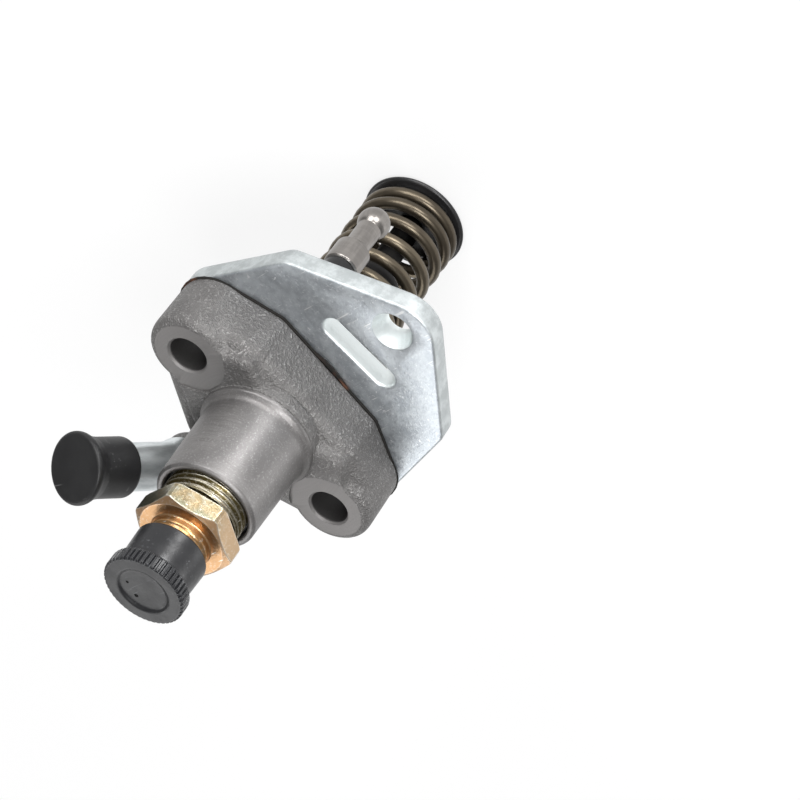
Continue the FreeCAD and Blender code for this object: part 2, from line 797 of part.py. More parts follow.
# control sleeve with two slots that drive the lug
sleeve = turned("control_sleeve", [
    ("nose_radius + running_gap", "sleeve_bottom"),
    ("sleeve_radius", "sleeve_bottom"),
    ("sleeve_radius", "skirt_bottom + seat_gap"),
    ("sleeve_collar", "skirt_bottom + seat_gap"),
    ("sleeve_collar", "skirt_bottom + seat_gap + sleeve_collar_thick"),
    ("sleeve_radius", "skirt_bottom + seat_gap + sleeve_collar_thick"),
    ("sleeve_radius", "arm_top - arm_thick"),
    ("sleeve_neck", "arm_top - arm_thick"),
    ("sleeve_neck", "web_bottom - seat_gap"),
    ("nose_radius + running_gap", "web_bottom - seat_gap"),
])
cuts = outline(new_sketch(sleeve, "XZ_Plane"), [
    ("-lug_side - seat_gap", "lug_bottom - seat_gap"),
    ("lug_side + seat_gap", "lug_bottom - seat_gap"),
    ("lug_side + seat_gap", "slot_top"),
    ("-lug_side - seat_gap", "slot_top"),
])
cuts.AttachmentSupport = [(plane(sleeve, "YZ_Plane"), "")]
slots = pocket(sleeve, cuts, "30")
slots.Midplane = True
doc.recompute()

# control arm, a flat lever pressed on the sleeve
arm = new_body("control_arm")
round_bar(
    new_sketch(arm, "XY_Plane", "arm_top - arm_thick"),
    ("0", "arm_hub_x", "arm_hub_y"),
    ("ball_reach", "arm_end_x", "arm_end_y"))
pad(arm, arm.Group[-1], "arm_thick")
eyes = circles(new_sketch(arm, "XY_Plane", "arm_top"), [
    ("0", "0", "sleeve_neck"),
    ("ball_reach", "0", "rivet_radius"),
])
pocket(arm, eyes, "arm_thick")
arm.Placement = Placement(Vector(0, 0, 0), Rotation(Vector(0, 0, 1), SIZE["window_middle"]))
arm.setExpression("Placement.Rotation.Angle", "Sizes.window_middle")

# ball pin riveted in the end of the arm
ball_pin = turned("ball_pin", [
    ("0", "ball_level"),
    ("ball_neck_radius", "ball_level"),
    ("ball_neck_radius", "ball_collar_bottom"),
    ("ball_collar_radius - 0.3", "ball_collar_bottom"),
    ("ball_collar_radius", "ball_collar_bottom + 0.3"),
    ("ball_collar_radius", "arm_top - arm_thick - 0.3"),
    ("ball_collar_radius - 0.3", "arm_top - arm_thick"),
    ("rivet_radius", "arm_top - arm_thick"),
    ("rivet_radius", "arm_top"),
    ("0", "arm_top"),
])
ball = ball_pin.newObject("PartDesign::AdditiveSphere", "Ball")
ball.Radius = SIZE["ball_radius"]
ball.setExpression("Radius", "Sizes.ball_radius")
ball.AttachmentSupport = [(plane(ball_pin, "XY_Plane"), "")]
ball.MapMode = "FlatFace"
ball.setExpression("AttachmentOffset.Base.z", "Sizes.ball_level")
ball_pin.setExpression("Placement.Base.x", "Sizes.ball_x")
ball_pin.setExpression("Placement.Base.y", "Sizes.ball_y")
doc.recompute()

# spring seats and the plunger spring
turned("upper_spring_seat", [
    ("upper_bore", "spring_top - 1.6"),
    ("seat_spigot", "spring_top - 1.6"),
    ("seat_spigot", "spring_top"),
    ("seat_radius", "spring_top"),
    ("seat_radius", "skirt_bottom"),
    ("upper_bore", "skirt_bottom"),
])
lower = turned("lower_spring_seat", [
    ("stem_radius + 0.15", "seat_bottom"),
    ("seat_radius - 0.4", "seat_bottom"),
    ("seat_radius", "seat_bottom + 0.4"),
    ("seat_radius", "spring_bottom - 0.4"),
    ("seat_radius - 0.4", "spring_bottom"),
    ("seat_spigot", "spring_bottom"),
    ("seat_spigot - 0.4", "spring_bottom + 1.4"),
    ("stem_radius + 0.15", "spring_bottom + 1.4"),
])
spin(lower, [
    ("0", "seat_bottom - 1"),
    ("foot_radius + 0.15", "seat_bottom - 1"),
    ("foot_radius + 0.15", "foot_top"),
    ("0", "foot_top"),
], cut=True)
entry = outline(new_sketch(lower, "XY_Plane", "seat_bottom - 1"), [
    ("-seat_entry", "0"),
    ("seat_entry", "0"),
    ("seat_entry", "-seat_radius - 4"),
    ("-seat_entry", "-seat_radius - 4"),
])
pocket(lower, entry, "8", upward=True)
spring = doc.addObject("Part::Feature", "plunger_spring")
spring.Label = "plunger_spring"
spring.Shape = coil(
    now("spring_mean"), now("spring_wire"), now("spring_bottom"), now("spring_top"),
    now("spring_pitch"), now("spring_close"), now("spring_start"))
spring.Placement = Placement()

# delivery valve: seat, valve, spring, volume reducer and sealing washer
turned("delivery_valve_seat", [
    ("valve_stem_radius + running_gap", "barrel_top"),
    ("barrel_radius - 0.1", "barrel_top"),
    ("barrel_radius - 0.1", "valve_seat_top"),
    ("valve_nose_radius", "valve_seat_top"),
    ("valve_nose_radius", "valve_nose_top"),
    ("valve_stem_radius + running_gap + 0.9", "valve_nose_top"),
    ("valve_stem_radius + running_gap", "valve_nose_top - 0.9"),
])
valve = turned("delivery_valve", [
    ("0", "barrel_top + 2.0"),
    ("valve_stem_radius", "barrel_top + 2.0"),
    ("valve_stem_radius", "valve_nose_top - 2.6"),
    ("valve_stem_radius - 0.5", "valve_nose_top - 2.3"),
    ("valve_stem_radius - 0.5", "valve_nose_top - 1.4"),
    ("valve_stem_radius + 0.82", "valve_nose_top - 0.08"),
    ("valve_stem_radius + 0.82", "valve_spring_bottom"),
    ("valve_spring_mean - 0.8", "valve_spring_bottom"),
    ("valve_spring_mean - 0.8", "valve_spring_bottom + 3.0"),
    ("valve_spring_mean - 1.2", "valve_spring_bottom + 3.4"),
    ("0", "valve_spring_bottom + 3.4"),
])
flutes = circles(new_sketch(valve, "XY_Plane", "barrel_top + 1.0"), [
    ("flute_place", "0", "flute_radius"),
    ("-flute_place", "0", "flute_radius"),
    ("0", "flute_place", "flute_radius"),
    ("0", "-flute_place", "flute_radius"),
])
pocket(valve, flutes, "valve_nose_top - 2.4 - barrel_top - 1.0", upward=True)
valve_spring = doc.addObject("Part::Feature", "delivery_valve_spring")
valve_spring.Label = "delivery_valve_spring"
valve_spring.Shape = coil(
    now("valve_spring_mean"), now("valve_spring_wire"), now("valve_spring_bottom"),
    now("valve_spring_top"), now("valve_spring_pitch"), 2 * now("valve_spring_wire") + 0.05, 0)
valve_spring.Placement = Placement()
turned("volume_reducer", [
    ("reducer_hole", "valve_spring_bottom + reducer_stand"),
    ("valve_spring_mean - 1.0", "valve_spring_bottom + reducer_stand"),
    ("valve_spring_mean - 0.8", "valve_spring_bottom + reducer_stand + 0.2"),
    ("valve_spring_mean - 0.8", "valve_spring_top"),
    ("chamber_radius - 0.05", "valve_spring_top"),
    ("chamber_radius - 0.05", "reducer_top"),
    ("reducer_hole", "reducer_top"),
])
turned("sealing_washer", [
    ("valve_nose_radius + 0.1", "valve_seat_top"),
    ("barrel_radius - 0.15", "valve_seat_top"),
    ("barrel_radius - 0.15", "valve_seat_top + washer_thick"),
    ("valve_nose_radius + 0.1", "valve_seat_top + washer_thick"),
])

# delivery valve holder: threaded shank, hexagon and outlet stub
holder = turned("delivery_valve_holder", [
    ("valve_nose_radius + 0.1", "valve_seat_top + washer_thick"),
    ("barrel_radius - 0.2", "valve_seat_top + washer_thick"),
    ("barrel_radius - 0.2", "holder_thread_floor + 0.4"),
    ("holder_thread_radius - thread_gap", "holder_thread_floor + 1.2"),
    ("holder_thread_radius - thread_gap", "holder_recess_floor"),
    ("holder_neck_radius", "holder_recess_floor + 0.4"),
    ("holder_neck_radius", "hex_bottom"),
    ("hex_flats - 8.0", "hex_bottom"),
    ("hex_flats - 8.0", "hex_top"),
    ("outlet_ring_radius", "hex_top"),
    ("outlet_ring_radius", "outlet_ring_top - 0.5"),
    ("outlet_root", "outlet_ring_top"),
    ("outlet_root", "outlet_top - 0.8"),
    ("outlet_root - 0.8", "outlet_top"),
    ("cone_mouth", "outlet_top"),
    ("outlet_hole", "outlet_top - 4.5"),
    ("outlet_hole", "reducer_top"),
    ("chamber_radius", "reducer_top"),
    ("chamber_radius", "valve_nose_top + 1.2"),
    ("valve_nose_radius + 0.1", "valve_nose_top + 0.6"),
])
six = outline(new_sketch(holder, "XY_Plane", "hex_bottom", turn="hex_turn"), [
    ("hex_reach", "0"),
    ("hex_half_reach", "hex_half_flat"),
    ("-hex_half_reach", "hex_half_flat"),
    ("-hex_reach", "0"),
    ("-hex_half_reach", "-hex_half_flat"),
    ("hex_half_reach", "-hex_half_flat"),
])
circles(six, [("0", "0", "hex_flats")])
pocket(holder, six, "hex_top - hex_bottom", upward=True)
spin(holder, [
    ("hex_flats", "hex_top - hex_top_drop"),
    ("hex_flats", "hex_top + 1"),
    ("hex_top_radius", "hex_top + 1"),
    ("hex_top_radius", "hex_top"),
], cut=True)
spin(holder, [
    ("hex_flats", "hex_bottom + hex_foot_drop"),
    ("hex_flats", "hex_bottom - 1"),
    ("hex_foot_radius", "hex_bottom - 1"),
    ("hex_foot_radius", "hex_bottom"),
], cut=True)
ring = doc.addObject("Part::Torus", "holder_ring")
ring.Label = "holder_ring"
ring.setExpression("Radius1", "(Sizes.holder_recess_radius + Sizes.holder_neck_radius) / 2")
ring.setExpression("Radius2", "(Sizes.holder_recess_radius - Sizes.holder_neck_radius) / 2 - 0.01")
ring.setExpression("Placement.Base.z", "Sizes.holder_recess_floor + 1.05")

# ribbed cap over the outlet thread
cap = turned("outlet_cap", [
    ("outlet_thread + running_gap", "cap_open"),
    ("cap_skirt_radius - 0.2", "cap_open"),
    ("cap_skirt_radius", "cap_open + 0.4"),
    ("cap_waist_radius", "cap_disc_bottom"),
    ("cap_disc_radius - 0.3", "cap_disc_bottom"),
    ("cap_disc_radius", "cap_disc_bottom + 0.3"),
    ("cap_disc_radius", "cap_closed - 0.5"),
    ("cap_disc_radius - 0.5", "cap_closed"),
    ("cap_dish_radius + 0.5", "cap_closed"),
    ("cap_dish_radius", "cap_closed - cap_dish_depth"),
    ("0", "cap_closed - cap_dish_depth"),
    ("0", "outlet_top + seat_gap"),
    ("outlet_thread + running_gap", "outlet_top + seat_gap"),
])
gap = outline(new_sketch(cap, "XY_Plane", "cap_closed + 0.5"), [
    ("cap_disc_radius - rib_depth", "-rib_floor_side"),
    ("cap_disc_radius + rib_depth", "-rib_mouth_side"),
    ("cap_disc_radius + rib_depth", "rib_mouth_side"),
    ("cap_disc_radius - rib_depth", "rib_floor_side"),
])
one = pocket(cap, gap, "cap_closed - cap_disc_bottom + 1.0")
ribs = cap.newObject("PartDesign::PolarPattern", "Ribs")
ribs.Originals = [one]
ribs.Axis = (plane(cap, "Z_Axis"), [""])
ribs.Angle = 360
ribs.Occurrences = int(SIZE["rib_count"])
cap.Tip = ribs
doc.recompute()

# inlet pipe and its rubber cap, turned upright and leaned over
pipe = turned("inlet_pipe", [
    ("pipe_bore", "-inlet_socket"),
    ("pipe_radius", "-inlet_socket"),
    ("pipe_radius", "0"),
    ("pipe_collar_radius", "0"),
    ("pipe_collar_radius", "pipe_collar_top"),
    ("pipe_radius", "pipe_flare_top"),
    ("pipe_radius", "pipe_end - 0.5"),
    ("pipe_radius - 0.5", "pipe_end"),
    ("pipe_bore", "pipe_end"),
])
pipe.Placement = Placement(root, lean)
plug = turned("inlet_cap", [
    ("pipe_radius + running_gap", "cap_start"),
    ("cap_body_radius - 0.3", "cap_start"),
    ("cap_body_radius", "cap_start + 0.4"),
    ("cap_body_radius - 0.05", "cap_rim_start - 4.6"),
    ("cap_body_radius + 0.25", "cap_rim_start - 2.2"),
    ("cap_rim_radius - 0.3", "cap_rim_start - 0.5"),
    ("cap_rim_radius", "cap_rim_start"),
    ("cap_rim_radius", "cap_end - 0.5"),
    ("cap_rim_radius - 0.2", "cap_end - 0.15"),
    ("cap_rim_radius - 0.6", "cap_end"),
    ("0", "cap_end"),
    ("0", "pipe_end + seat_gap"),
    ("pipe_radius + running_gap", "pipe_end + seat_gap"),
])
plug.Placement = Placement(root, lean)
doc.recompute()

# every object is checked before anything is written
pieces = [part for part in doc.Objects if part.isDerivedFrom("PartDesign::Body")]
pieces += [part for part in doc.Objects if part.TypeId in (
    "Part::Feature", "Part::Torus", "Part::Cylinder")]
for part in doc.Objects:
    if "Invalid" in part.State or "Error" in part.State:
        raise RuntimeError("%s has failed" % part.Label)
for part in pieces:
    shape = part.Shape
    if shape.isNull() or not shape.isValid() or len(shape.Solids) != 1:
        raise RuntimeError("%s has no sound solid" % part.Label)
for part in pieces:
    part.Shape.exportStep("parts/%s.step" % part.Label)
    print(part.Label, round(part.Shape.Volume, 2))
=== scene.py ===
import math

import bmesh
import bpy
from mathutils import Matrix, Vector


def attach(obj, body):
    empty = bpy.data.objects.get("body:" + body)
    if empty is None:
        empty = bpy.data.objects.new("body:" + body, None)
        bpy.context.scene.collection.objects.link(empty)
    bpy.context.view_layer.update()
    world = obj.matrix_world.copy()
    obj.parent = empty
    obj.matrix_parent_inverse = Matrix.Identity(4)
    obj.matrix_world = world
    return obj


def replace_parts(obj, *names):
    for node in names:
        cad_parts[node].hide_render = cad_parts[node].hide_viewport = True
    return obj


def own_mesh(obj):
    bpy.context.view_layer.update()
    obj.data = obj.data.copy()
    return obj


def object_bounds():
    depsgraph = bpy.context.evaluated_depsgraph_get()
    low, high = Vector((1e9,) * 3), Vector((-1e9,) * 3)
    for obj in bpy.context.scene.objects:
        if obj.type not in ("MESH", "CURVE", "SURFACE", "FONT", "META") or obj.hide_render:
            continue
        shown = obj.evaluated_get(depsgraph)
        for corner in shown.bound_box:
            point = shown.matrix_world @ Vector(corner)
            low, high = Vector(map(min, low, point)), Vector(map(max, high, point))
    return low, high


# A fuel injection pump standing on its spring seat. Pieces are drawn in
# millimetres in the pump's own frame: Z runs up the plunger to the outlet and
# X joins the two fixing holes. MM turns a drawn length into metres.

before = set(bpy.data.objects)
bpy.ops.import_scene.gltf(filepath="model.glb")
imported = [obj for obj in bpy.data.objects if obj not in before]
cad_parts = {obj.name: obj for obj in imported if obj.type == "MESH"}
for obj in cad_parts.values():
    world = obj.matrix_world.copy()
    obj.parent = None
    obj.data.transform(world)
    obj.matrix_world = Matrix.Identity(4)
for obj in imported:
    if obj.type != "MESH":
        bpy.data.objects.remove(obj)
cad_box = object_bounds()
MM = 0.001


# drawing help

def bare_mesh(name, vertices, faces):
    """A mesh datablock from points in millimetres."""
    mesh = bpy.data.meshes.new(name)
    mesh.from_pydata([[c * MM for c in v] for v in vertices], [], faces)
    return mesh


def place(vertices, faces, name, material, body, slot_name, sharp=35):
    """One mesh piece of the pump, shaded smooth up to an angle, riding on a body."""
    return settle(bare_mesh(name, vertices, faces), name, material, body, sharp)


def settle(mesh, name, material, body, sharp=35):
    """Stands a mesh in the scene with its material, its shading and its body."""
    mesh.materials.clear()
    mesh.materials.append(material)
    mesh.shade_smooth()
    mesh.set_sharp_from_angle(angle=math.radians(sharp))
    piece = bpy.data.objects.new(name, mesh)
    bpy.context.scene.collection.objects.link(piece)
    if body:
        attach(piece, body)
    return piece


def soften(profile, radius, steps=4):
    """Rounds the inner corners of a profile of (radius, height) points."""
    out = [profile[0]]
    for before, corner, after in zip(profile, profile[1:], profile[2:]):
        b, c, a = Vector(before), Vector(corner), Vector(after)
        to_b, to_a = b - c, a - c
        reach = min(radius, 0.45 * to_b.length, 0.45 * to_a.length)
        if reach < 1e-4 or abs(to_b.normalized().dot(to_a.normalized())) > 0.995:
            out.append(corner)
            continue
        start = c + to_b.normalized() * reach
        end = c + to_a.normalized() * reach
        for i in range(steps + 1):
            t = i / steps
            out.append(tuple((1 - t) ** 2 * start + 2 * t * (1 - t) * c + t ** 2 * end))
    out.append(profile[-1])
    return out


def turned_faces(rows, columns, closed):
    faces = []
    for i in range(rows if closed else rows - 1):
        for j in range(columns):
            a, b = i * columns + j, i * columns + (j + 1) % columns
            c = (i + 1) % rows * columns
            faces.append((a, b, c + (j + 1) % columns, c + j))
    return faces


def turned(profile, columns=144, shape=None, closed=False):
    """Vertices and faces of a profile turned about Z. shape moves single points."""
    vertices = []
    for r, z in profile:
        for j in range(columns):
            angle = 2 * math.pi * j / columns
            rr, zz = shape(r, z, angle) if shape else (r, z)
            vertices.append((rr * math.cos(angle), rr * math.sin(angle), zz))
    return vertices, turned_faces(len(profile), columns, closed)


def turned_piece(name, profile, material, body, slot_name, rounding=0.15, columns=144,
                 shape=None, sharp=35, closed=False, steps=4):
    vertices, faces = turned(soften(profile, rounding, steps), columns, shape, closed)
    return place(vertices, faces, name, material, body, slot_name, sharp)


def corner_arcs(corners, steps=10):
    """A closed outline with every corner (x, y, radius) rounded by an arc."""
    out = []
    count = len(corners)
    for i in range(count):
        x, y, radius = corners[i]
        c = Vector((x, y))
        to_b = (Vector(corners[i - 1][:2]) - c).normalized()
        to_a = (Vector(corners[(i + 1) % count][:2]) - c).normalized()
        half = math.acos(max(-1, min(1, to_b.dot(to_a)))) / 2
        middle = c + (to_b + to_a).normalized() * radius / math.sin(half)
        start = c + to_b * radius / math.tan(half) - middle
        end = c + to_a * radius / math.tan(half) - middle
        a0, a1 = math.atan2(start.y, start.x), math.atan2(end.y, end.x)
        swing = (a1 - a0 + math.pi) % (2 * math.pi) - math.pi
        for k in range(steps + 1):
            a = a0 + swing * k / steps
            out.append((middle.x + radius * math.cos(a), middle.y + radius * math.sin(a)))
    return out


def ring_points(x, y, radius, count=64):
    return [(x + radius * math.cos(2 * math.pi * i / count),
             y + radius * math.sin(2 * math.pi * i / count)) for i in range(count)]


def slot_points(x, y, half_run, radius, turn, count=16):
    """A slot with round ends, turned by an angle in degrees."""
    turn = math.radians(turn)
    out = []
    for end in (1, -1):
        for i in range(count + 1):
            a = turn + math.pi * (i / count - 0.5) + (0 if end > 0 else math.pi)
            out.append((x + end * half_run * math.cos(turn) + radius * math.cos(a),
                        y + end * half_run * math.sin(turn) + radius * math.sin(a)))
    return out


def mesh_of(draft):
    """The draft's mesh as its modifiers or its curve settings shape it."""
    bpy.context.view_layer.update()
    return bpy.data.meshes.new_from_object(draft.evaluated_get(bpy.context.evaluated_depsgraph_get()))


def weld(mesh, reach):
    """Joins points that lie closer than reach and turns all faces outwards."""
    work = bmesh.new()
    work.from_mesh(mesh)
    bmesh.ops.remove_doubles(work, verts=work.verts, dist=reach)
    bmesh.ops.recalc_face_normals(work, faces=work.faces)
    work.to_mesh(mesh)
    work.free()


def slab(name, outline, holes, low, high, rounding, steps=4):
    """A flat plate with holes and rounded edges, as a mesh datablock."""
    curve = bpy.data.curves.new(name, "CURVE")
    curve.dimensions = "2D"
    curve.fill_mode = "BOTH"
    for points in [outline] + holes:
        line = curve.splines.new("POLY")
        line.points.add(len(points) - 1)
        for spot, (x, y) in zip(line.points, points):
            spot.co = (x * MM, y * MM, 0, 1)
        line.use_cyclic_u = True
    curve.extrude = ((high - low) / 2 - rounding) * MM
    curve.bevel_depth = rounding * MM
    curve.bevel_resolution = steps
    curve.offset = -rounding * MM
    draft = bpy.data.objects.new(name, curve)
    bpy.context.scene.collection.objects.link(draft)
    mesh = mesh_of(draft)
    bpy.data.objects.remove(draft)
    bpy.data.curves.remove(curve)
    mesh.transform(Matrix.Translation((0, 0, (low + high) / 2 * MM)))
    weld(mesh, 2e-6)
    mesh.name = name
    return mesh


def draft_object(mesh):
    draft = bpy.data.objects.new(mesh.name + "_draft", mesh)
    bpy.context.scene.collection.objects.link(draft)
    return draft


def turned_mesh(name, profile, columns=96):
    """A closed turned solid as a bare mesh, for joining and cutting."""
    mesh = bare_mesh(name, *turned(profile, columns))
    weld(mesh, 1e-7)
    return mesh


def with_modifiers(draft, *made):
    """The draft's mesh after its modifiers; the drafts are then thrown away."""
    mesh = mesh_of(draft)
    for old in (draft,) + made:
        bpy.data.objects.remove(old)
    return mesh


def cut_from(draft, cutter_mesh):
    cutter = draft_object(cutter_mesh)
    cutter.hide_render = True
    step = draft.modifiers.new("cut", "BOOLEAN")
    step.operation = "DIFFERENCE"
    step.solver = "EXACT"
    step.object = cutter
    return cutter


# materials

def feed(tree, spot, value):
    """Links a node's output to a socket, or sets the socket to a plain value."""
    if isinstance(value, bpy.types.NodeSocket):
        tree.links.new(value, spot)
    else:
        spot.default_value = value


class Graph:
    """Adds nodes to one shader tree; inputs are numbers, colours or other nodes' outputs."""

    def __init__(self, tree):
        self.tree = tree

    def add(self, kind, out=0, settings=None, **inputs):
        node = self.tree.nodes.new(kind)
        for key, value in (settings or {}).items():
            setattr(node, key, value)
        for key, value in inputs.items():
            spot = int(key[1:]) if key[0] == "i" and key[1:].isdigit() else key.replace("_", " ")
            feed(self.tree, node.inputs[spot], value)
        return node.outputs[out]

    def math(self, operation, a, b=0.0, clamp=False):
        return self.add("ShaderNodeMath", settings={"operation": operation, "use_clamp": clamp}, i0=a, i1=b)

    def vector(self, operation, a, b=(0, 0, 0), out=0):
        return self.add("ShaderNodeVectorMath", out, {"operation": operation}, i0=a, i1=b)

    def noise(self, where, scale, detail=3.0, roughness=0.55, distortion=0.0):
        return self.add("ShaderNodeTexNoise", 0, None, Vector=where, Scale=scale, Detail=detail,
                        Roughness=roughness, Distortion=distortion)

    def span(self, value, low, high, to_low=0.0, to_high=1.0):
        return self.add("ShaderNodeMapRange", 0, {"interpolation_type": "SMOOTHSTEP"},
                        i0=value, i1=low, i2=high, i3=to_low, i4=to_high)

    def blend(self, share, a, b, kind="MIX"):
        return self.add("ShaderNodeMix", 2, {"data_type": "RGBA", "blend_type": kind, "clamp_factor": True},
                        i0=share, i6=a, i7=b)

    def lerp(self, share, a, b):
        return self.add("ShaderNodeMix", 0, {"data_type": "FLOAT"}, i0=share, i2=a, i3=b)

    def bump(self, height, strength, distance, normal=None):
        node = self.tree.nodes.new("ShaderNodeBump")
        self.tree.links.new(height, node.inputs["Height"])
        node.inputs["Strength"].default_value = strength
        node.inputs["Distance"].default_value = distance
        if normal is not None:
            self.tree.links.new(normal, node.inputs["Normal"])
        return node.outputs[0]

    def place(self):
        return self.add("ShaderNodeTexCoord", 3)


def shader_group(name, inputs, outputs, build):
    """A node group with named sockets; build returns a value for each output."""
    tree = bpy.data.node_groups.new(name, "ShaderNodeTree")
    for label, kind, value in inputs:
        socket = tree.interface.new_socket(name=label, in_out="INPUT", socket_type=kind)
        if value is not None:
            socket.default_value = value
    for label, kind in outputs:
        tree.interface.new_socket(name=label, in_out="OUTPUT", socket_type=kind)
    graph = Graph(tree)
    entry = tree.nodes.new("NodeGroupInput")
    leave = tree.nodes.new("NodeGroupOutput")
    made = build(graph, {socket.name: socket for socket in entry.outputs if socket.name})
    for label, _ in outputs:
        tree.links.new(made[label], leave.inputs[label])
    return tree


def use(graph, group, **inputs):
    """A shader group placed in a material, as a dict of its outputs."""
    node = graph.tree.nodes.new("ShaderNodeGroup")
    node.node_tree = group
    for key, value in inputs.items():
        feed(graph.tree, node.inputs[key.replace("_", " ")], value)
    return {socket.name: socket for socket in node.outputs}


def finish_of(name, build):
    """A material whose build function returns the Principled BSDF's inputs."""
    material = bpy.data.materials.new(name)
    material.use_nodes = True
    tree = material.node_tree
    tree.nodes.clear()
    graph = Graph(tree)
    surface = tree.nodes.new("ShaderNodeBsdfPrincipled")
    for key, value in build(graph).items():
        feed(tree, surface.inputs[key], value)
    last = tree.nodes.new("ShaderNodeOutputMaterial")
    tree.links.new(surface.outputs[0], last.inputs[0])
    return material


FLOAT, VECTOR = "NodeSocketFloat", "NodeSocketVector"


def build_sand_grain(graph, given):
    """Pits and grains of a sand-cast skin: a height and a mask of shiny grain tips."""
    where, size = given["Place"], given["Scale"]
    fine = graph.noise(where, graph.math("MULTIPLY", size, 2.3), 1.0, 0.5)
    middle = graph.noise(where, size, 2.0, 0.6)
    broad = graph.noise(where, graph.math("MULTIPLY", size, 0.07), 3.0, 0.6)
    height = graph.math("ADD", graph.math("MULTIPLY", middle, 0.6), graph.math("MULTIPLY", fine, 0.4))
    return {"Height": height, "Tips": graph.span(height, 0.52, 0.66),
            "Patches": graph.span(broad, 0.35, 0.65)}


sand_grain = shader_group("sand_grain", [("Place", VECTOR, None), ("Scale", FLOAT, 1400.0)],
                          [("Height", FLOAT), ("Tips", FLOAT), ("Patches", FLOAT)], build_sand_grain)


def level_share(graph):
    """1 on level faces, 0 on faces that stand upright."""
    upward = graph.add("ShaderNodeSeparateXYZ", 2, None, Vector=graph.add("ShaderNodeNewGeometry", 1))
    return graph.math("ABSOLUTE", upward)


def build_turning_lines(graph, given):
    """Fine lines left by a lathe tool round an axis, as height and as a tone."""
    squeezed = graph.vector("MULTIPLY", given["Place"], (0.05, 0.05, 1.0))
    lines = graph.noise(squeezed, given["Scale"], 4.0, 0.7)
    ring = graph.vector("MULTIPLY", given["Place"], (1, 1, 0))
    radius = graph.vector("LENGTH", ring, out=1)
    across = graph.add("ShaderNodeCombineXYZ", 0, None, X=radius)
    rings = graph.noise(across, given["Scale"], 4.0, 0.7)
    height = graph.lerp(graph.span(level_share(graph), 0.7, 0.9), lines, rings)
    return {"Height": height, "Tone": graph.span(height, 0.3, 0.7)}


turning_lines = shader_group("turning_lines", [("Place", VECTOR, None), ("Scale", FLOAT, 2500.0)],
                             [("Height", FLOAT), ("Tone", FLOAT)], build_turning_lines)


def build_scuffs(graph, given):
    """Short scratches in two directions and small specks."""
    where = given["Place"]
    masks = []
    for turn, shift in ((0.5, 0.0), (2.1, 3.7)):
        turned_place = graph.add("ShaderNodeMapping", 0, None, Vector=where, Rotation=(0.2, 0.4, turn),
                                 Location=(shift, shift, 0), Scale=(1.0, 0.06, 1.0))
        lines = graph.noise(turned_place, graph.math("MULTIPLY", given["Scale"], 2.0), 2.0, 0.5)
        broken = graph.noise(where, graph.math("MULTIPLY", given["Scale"], 0.3), 2.0, 0.5)
        masks.append(graph.math("MULTIPLY", graph.span(lines, 0.66, 0.72), graph.span(broken, 0.5, 0.62)))
    specks = graph.span(graph.noise(where, given["Scale"], 2.0, 0.6), 0.68, 0.74)
    return {"Scratches": graph.math("MAXIMUM", masks[0], masks[1]), "Specks": specks}


scuffs = shader_group("scuffs", [("Place", VECTOR, None), ("Scale", FLOAT, 900.0)],
                      [("Scratches", FLOAT), ("Specks", FLOAT)], build_scuffs)


def upright_share(graph):
    """1 on faces that stand upright, 0 on level ones."""
    return graph.span(level_share(graph), 0.9, 0.6)


def cast_skin(graph):
    grain = use(graph, sand_grain, Place=graph.place(), Scale=1500.0)
    tone = graph.blend(grain["Patches"], (0.113, 0.109, 0.107, 1), (0.145, 0.141, 0.138, 1))
    tone = graph.blend(grain["Tips"], tone, (0.23, 0.224, 0.22, 1))
    return {"Base Color": tone, "Metallic": 0.5, "Roughness": graph.lerp(grain["Tips"], 0.5, 0.3),
            "Normal": graph.bump(grain["Height"], 1.0, 0.0006)}


def cast_faced(graph):
    lines = use(graph, turning_lines, Place=graph.place(), Scale=1500.0)
    grain = use(graph, sand_grain, Place=graph.place(), Scale=2200.0)
    tone = graph.blend(lines["Tone"], (0.165, 0.159, 0.156, 1), (0.18, 0.173, 0.17, 1))
    # Painted shade: from 18.8 mm down to 18.2 mm the tone fades to near black, darkening the walls of the
    # fixing holes.
    height = graph.add("ShaderNodeSeparateXYZ", 2, None, Vector=graph.place())
    tone = graph.blend(graph.span(height, 0.0188, 0.0182), tone, (0.05, 0.048, 0.047, 1))
    return {"Base Color": tone, "Metallic": 0.5, "Roughness": 0.55,
            "Normal": graph.bump(grain["Height"], 0.6, 0.00016)}


def cast_turned(graph):
    lines = use(graph, turning_lines, Place=graph.place(), Scale=2200.0)
    grain = use(graph, sand_grain, Place=graph.place(), Scale=2100.0)
    tone = graph.blend(lines["Tone"], (0.165, 0.159, 0.156, 1), (0.215, 0.208, 0.204, 1))
    tone = graph.blend(grain["Patches"], tone, (0.165, 0.159, 0.157, 1))
    tone = graph.blend(grain["Tips"], tone, (0.26, 0.253, 0.25, 1))
    normal = graph.bump(lines["Height"], 0.5, 0.00012)
    return {"Base Color": tone, "Metallic": 0.8, "Roughness": graph.lerp(grain["Patches"], 0.5, 0.42),
            "Normal": graph.bump(grain["Height"], 0.3, 0.00014, normal)}


